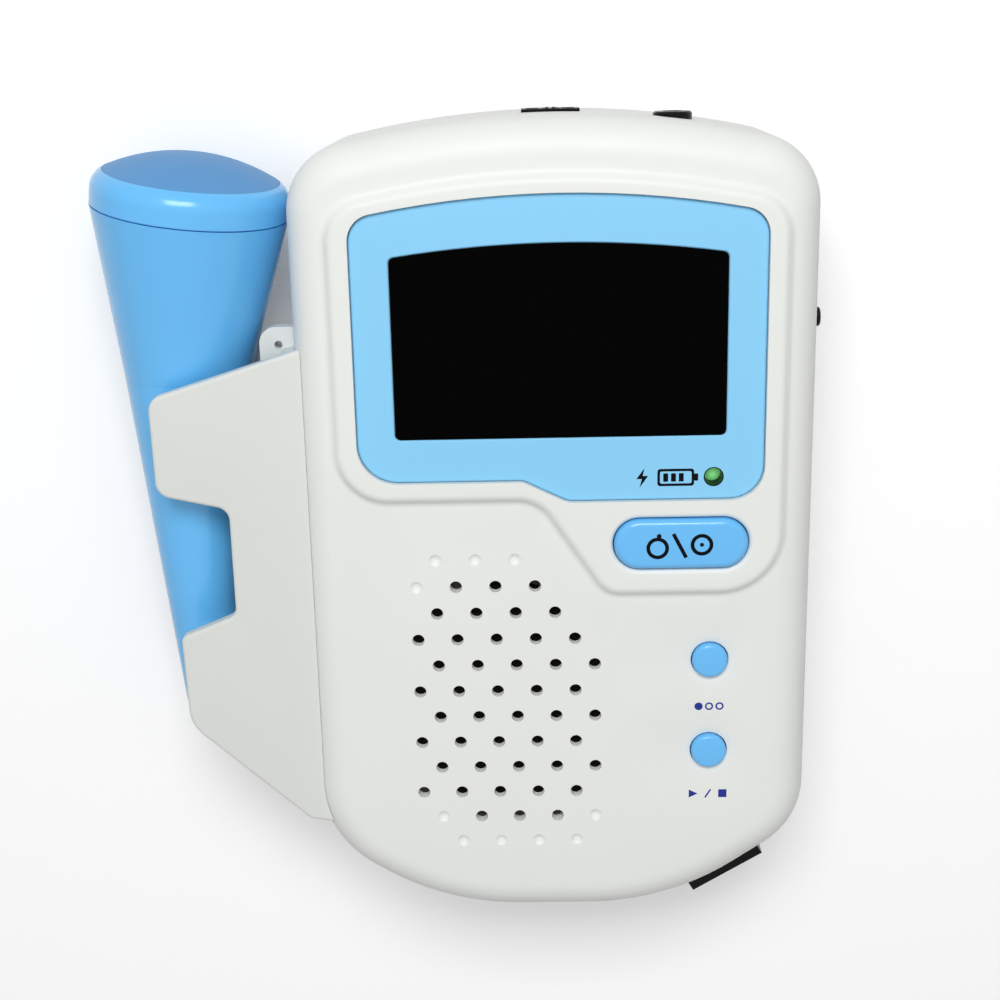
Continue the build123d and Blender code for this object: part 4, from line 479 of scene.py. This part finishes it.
def middle_of(node):
    """Middle of a node's box, in mm."""
    low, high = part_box(node)
    return (low.x + high.x) / 2 / MM, (low.y + high.y) / 2 / MM


def join_rings(mesh, first, second):
    """Faces between two rings of as many points."""
    for k in range(len(first)):
        after = (k + 1) % len(first)
        mesh.faces.new((first[k], first[after], second[after], second[k]))


def add_flat(mesh, outer, inner, low, high):
    """Adds a closed flat shape between two heights. inner is its hole, with as many points."""
    def ring(loop, z):
        return [mesh.verts.new((x * MM, y * MM, z * MM)) for x, y in loop]

    bottom = ring(outer, low)
    top = ring(outer, high)
    join_rings(mesh, bottom, top)
    if inner:
        inner_bottom = ring(inner, low)
        inner_top = ring(inner, high)
        join_rings(mesh, inner_top, inner_bottom)
        join_rings(mesh, top, inner_top)
        join_rings(mesh, inner_bottom, bottom)
    else:
        mesh.faces.new(top)
        mesh.faces.new(list(reversed(bottom)))


def finish_piece(name, mesh, material, body):
    """Turns a bmesh into a piece that rides on a body."""
    bmesh.ops.recalc_face_normals(mesh, faces=mesh.faces)
    data = bpy.data.meshes.new(name)
    mesh.to_mesh(data)
    mesh.free()
    data.materials.append(material)
    piece = bpy.data.objects.new(name, data)
    bpy.context.scene.collection.objects.link(piece)
    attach(piece, body)


def printed(name, shapes, on, body, material):
    """Ink on the front of a node. shapes are (outer loop, inner loop or None) in mm."""
    mesh = bmesh.new()
    for outer, inner in shapes:
        height = surface_height(on, *outer[0])
        add_flat(mesh, outer, inner, height - INK_SINK, height + INK_THICKNESS)
    finish_piece(name, mesh, material, body)


def power_marks():
    """The off and on symbols of the power button with the stroke between them."""
    x, y = middle_of("power_button")

    def at(place):
        return x + place[0], y + place[1]

    slash_start, slash_end = POWER_SLASH
    marks = {
        "power_mark_off": [ring_shape(*at(OFF_RING), POWER_RING_RADIUS, POWER_STROKE),
                           dot_shape(*at(OFF_DOT), OFF_DOT_RADIUS)],
        "power_mark_stroke": [bar_shape(at(slash_start), at(slash_end), POWER_STROKE)],
        "power_mark_on": [ring_shape(*at(ON_RING), POWER_RING_RADIUS, POWER_STROKE),
                          dot_shape(*at(ON_RING), ON_DOT_RADIUS)],
    }
    for name, shapes in marks.items():
        printed(name, shapes, "power_button", "power_key", BLACK_INK)


def charge_mark():
    """Battery and bolt beside the charge lamp."""
    x, y = middle_of("charge_light")
    battery_x = x + BATTERY_PLACE
    bolt_x = x + BOLT_PLACE
    shapes = [
        (rounded_box(battery_x, y, *BATTERY_BODY), rounded_box(battery_x, y, *BATTERY_HOLLOW)),
        (rounded_box(battery_x + TIP_PLACE, y, *BATTERY_TIP), None),
    ]
    for step in range(BAR_COUNT):
        bar_x = battery_x + FIRST_BAR_PLACE + step * BAR_PITCH
        shapes.append((rounded_box(bar_x, y, *BATTERY_BAR), None))
    shapes.append(([(bolt_x + right, y + up) for right, up in BOLT], None))
    printed("charge_mark", shapes, "front_panel", "case", BLACK_INK)


def mode_mark():
    """One full and two open dots under the mode button."""
    x, y = middle_of("mode_button")
    y -= MODE_MARK_DROP
    shapes = [dot_shape(x - DOT_PITCH, y, FULL_DOT_RADIUS)]
    for step in (0, 1):
        shapes.append(ring_shape(x + step * DOT_PITCH, y, OPEN_DOT_RADIUS, THIN_STROKE))
    printed("mode_mark", shapes, "front_shell", "case", NAVY_INK)


def start_mark():
    """Start and stop symbols under the start button."""
    x, y = middle_of("start_button")
    y -= START_MARK_DROP
    back_x, tip_x = (x + place for place in START_SIGN)
    slash = ((x - SLASH_HALF_RUN, y - SIGN_HALF), (x + SLASH_HALF_RUN, y + SIGN_HALF))
    stop_sign = rounded_box(x + STOP_SIGN_PLACE, y, STOP_SIGN_WIDTH, 2 * SIGN_HALF, STOP_SIGN_CORNER)
    shapes = [
        ([(back_x, y - SIGN_HALF), (tip_x, y), (back_x, y + SIGN_HALF)], None),
        bar_shape(*slash, THIN_STROKE),
        (stop_sign, None),
    ]
    printed("start_mark", shapes, "front_shell", "case", NAVY_INK)


# ---- Battery cells: the white band on each sleeve ----
def add_band(mesh, start, end, radius, thickness, y, z):
    """Adds a thin band round an axis that runs along X."""
    outline = [(start, radius), (end, radius), (end, radius + thickness), (start, radius + thickness)]
    angles = [2 * pi * k / BAND_POINTS for k in range(BAND_POINTS)]
    rings = []
    for along, distance in outline:
        rings.append([mesh.verts.new((along * MM, (y + distance * cos(angle)) * MM,
                                      (z + distance * sin(angle)) * MM)) for angle in angles])
    for first, second in zip(rings, rings[1:] + rings[:1]):
        join_rings(mesh, first, second)


def cell_bands():
    """White band at each cell's positive end. The cells lie head to tail."""
    low, high = (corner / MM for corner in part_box("battery_cells"))
    pitch = (high.y - low.y - 2 * CELL_RADIUS) / (CELL_COUNT - 1)
    for index in range(CELL_COUNT):
        side = 1 - 2 * (index % 2)
        y = low.y + CELL_RADIUS + index * pitch
        z = (low.z + high.z) / 2
        end = side * (high.x - BAND_FROM_END)
        mesh = bmesh.new()
        add_band(mesh, end - side * BAND_WIDTH, end, CELL_RADIUS - BAND_SINK, BAND_THICKNESS, y, z)
        finish_piece(f"cell_band_{index + 1}", mesh, WHITE_INK, "case")


# ---- Floor, light and camera ----
def floor():
    """White floor that shows the object's shadow. It throws back less light than it seems to."""
    mesh = bpy.data.meshes.new("floor")
    corners = [(-1, -1), (1, -1), (1, 1), (-1, 1)]
    mesh.from_pydata([(x * FLOOR_HALF, y * FLOOR_HALF, 0) for x, y in corners], [], [(0, 1, 2, 3)])
    plane = bpy.data.objects.new("floor", mesh)
    plane.location.z = CAD_BOX[0][2] - FLOOR_DROP
    bpy.context.scene.collection.objects.link(plane)
    material, tree = new_material("floor_paper")
    seen = tree.seen()
    fibre = tree.span(tree.noise(FIBRE_SCALE, 2.0), 0.3, 0.7, 0.985, 1.0)
    shade = tree.math("MULTIPLY", fibre, tree.span(seen, 0.0, 1.0, FLOOR_BOUNCE, FLOOR_WHITE))
    paper = tree.add("ShaderNodeBsdfDiffuse", {"Color": tree.grey(shade)})
    strength = tree.math("MULTIPLY", seen, FLOOR_GLOW)
    lift = tree.add("ShaderNodeEmission", {"Color": WHITE, "Strength": strength})
    both = tree.add("ShaderNodeAddShader")
    tree.put(both.inputs[0], paper.outputs[0])
    tree.put(both.inputs[1], lift.outputs[0])
    tree.add("ShaderNodeOutputMaterial", {"Surface": both.outputs[0]})
    mesh.materials.append(material)


def key_lamp():
    """Soft lamp above and beyond the monitor's top end."""
    light = bpy.data.lights.new("key", "AREA")
    light.shape = "RECTANGLE"
    light.size, light.size_y = KEY_SIZE
    light.energy = KEY_POWER
    holder = bpy.data.objects.new("key", light)
    holder.location = KEY_PLACE
    aim = Vector(KEY_AIM) - Vector(KEY_PLACE)
    holder.rotation_euler = aim.to_track_quat("-Z", "Y").to_euler()
    bpy.context.scene.collection.objects.link(holder)


def world():
    """White to the eye and in reflections. The soft fill is brighter overhead than at the horizon."""
    sky = bpy.data.worlds.new("studio")
    sky.use_nodes = True
    tree = Tree(sky)
    seen = tree.seen()
    direction = tree.add("ShaderNodeTexCoord").outputs["Generated"]
    up = tree.add("ShaderNodeSeparateXYZ", {"Vector": direction}).outputs["Z"]
    fill = tree.span(tree.math("MULTIPLY", up, up), 0.0, 1.0, SKY_HORIZON, SKY_OVERHEAD)
    share = tree.math("MULTIPLY", fill, tree.math("SUBTRACT", 1.0, seen))
    strength = tree.math("ADD", share, seen)
    background = tree.add("ShaderNodeBackground", {"Color": WHITE, "Strength": strength})
    tree.add("ShaderNodeOutputWorld", {"Surface": background.outputs[0]})
    bpy.context.scene.world = sky


def camera():
    """Looks almost straight down on the monitor, from above its top end."""
    roll = Matrix.Rotation(radians(CAMERA_ROLL), 3, "Z")
    tilt = Matrix.Rotation(radians(CAMERA_TILT), 3, "X")
    yaw = Matrix.Rotation(radians(CAMERA_YAW), 3, "Y")
    to_camera = roll @ tilt @ yaw
    data = bpy.data.cameras.new("camera")
    data.sensor_width = SENSOR_WIDTH
    data.lens = LENS
    data.clip_start = CAMERA_NEAR
    view = bpy.data.objects.new("camera", data)
    view.matrix_world = Matrix.Translation(CAMERA_PLACE) @ to_camera.transposed().to_4x4()
    bpy.context.scene.collection.objects.link(view)
    bpy.context.scene.camera = view


dress_nodes()
power_marks()
charge_mark()
mode_mark()
start_mark()
cell_bands()
floor()
world()
key_lamp()
camera()
bpy.context.scene.view_settings.view_transform = "Standard"
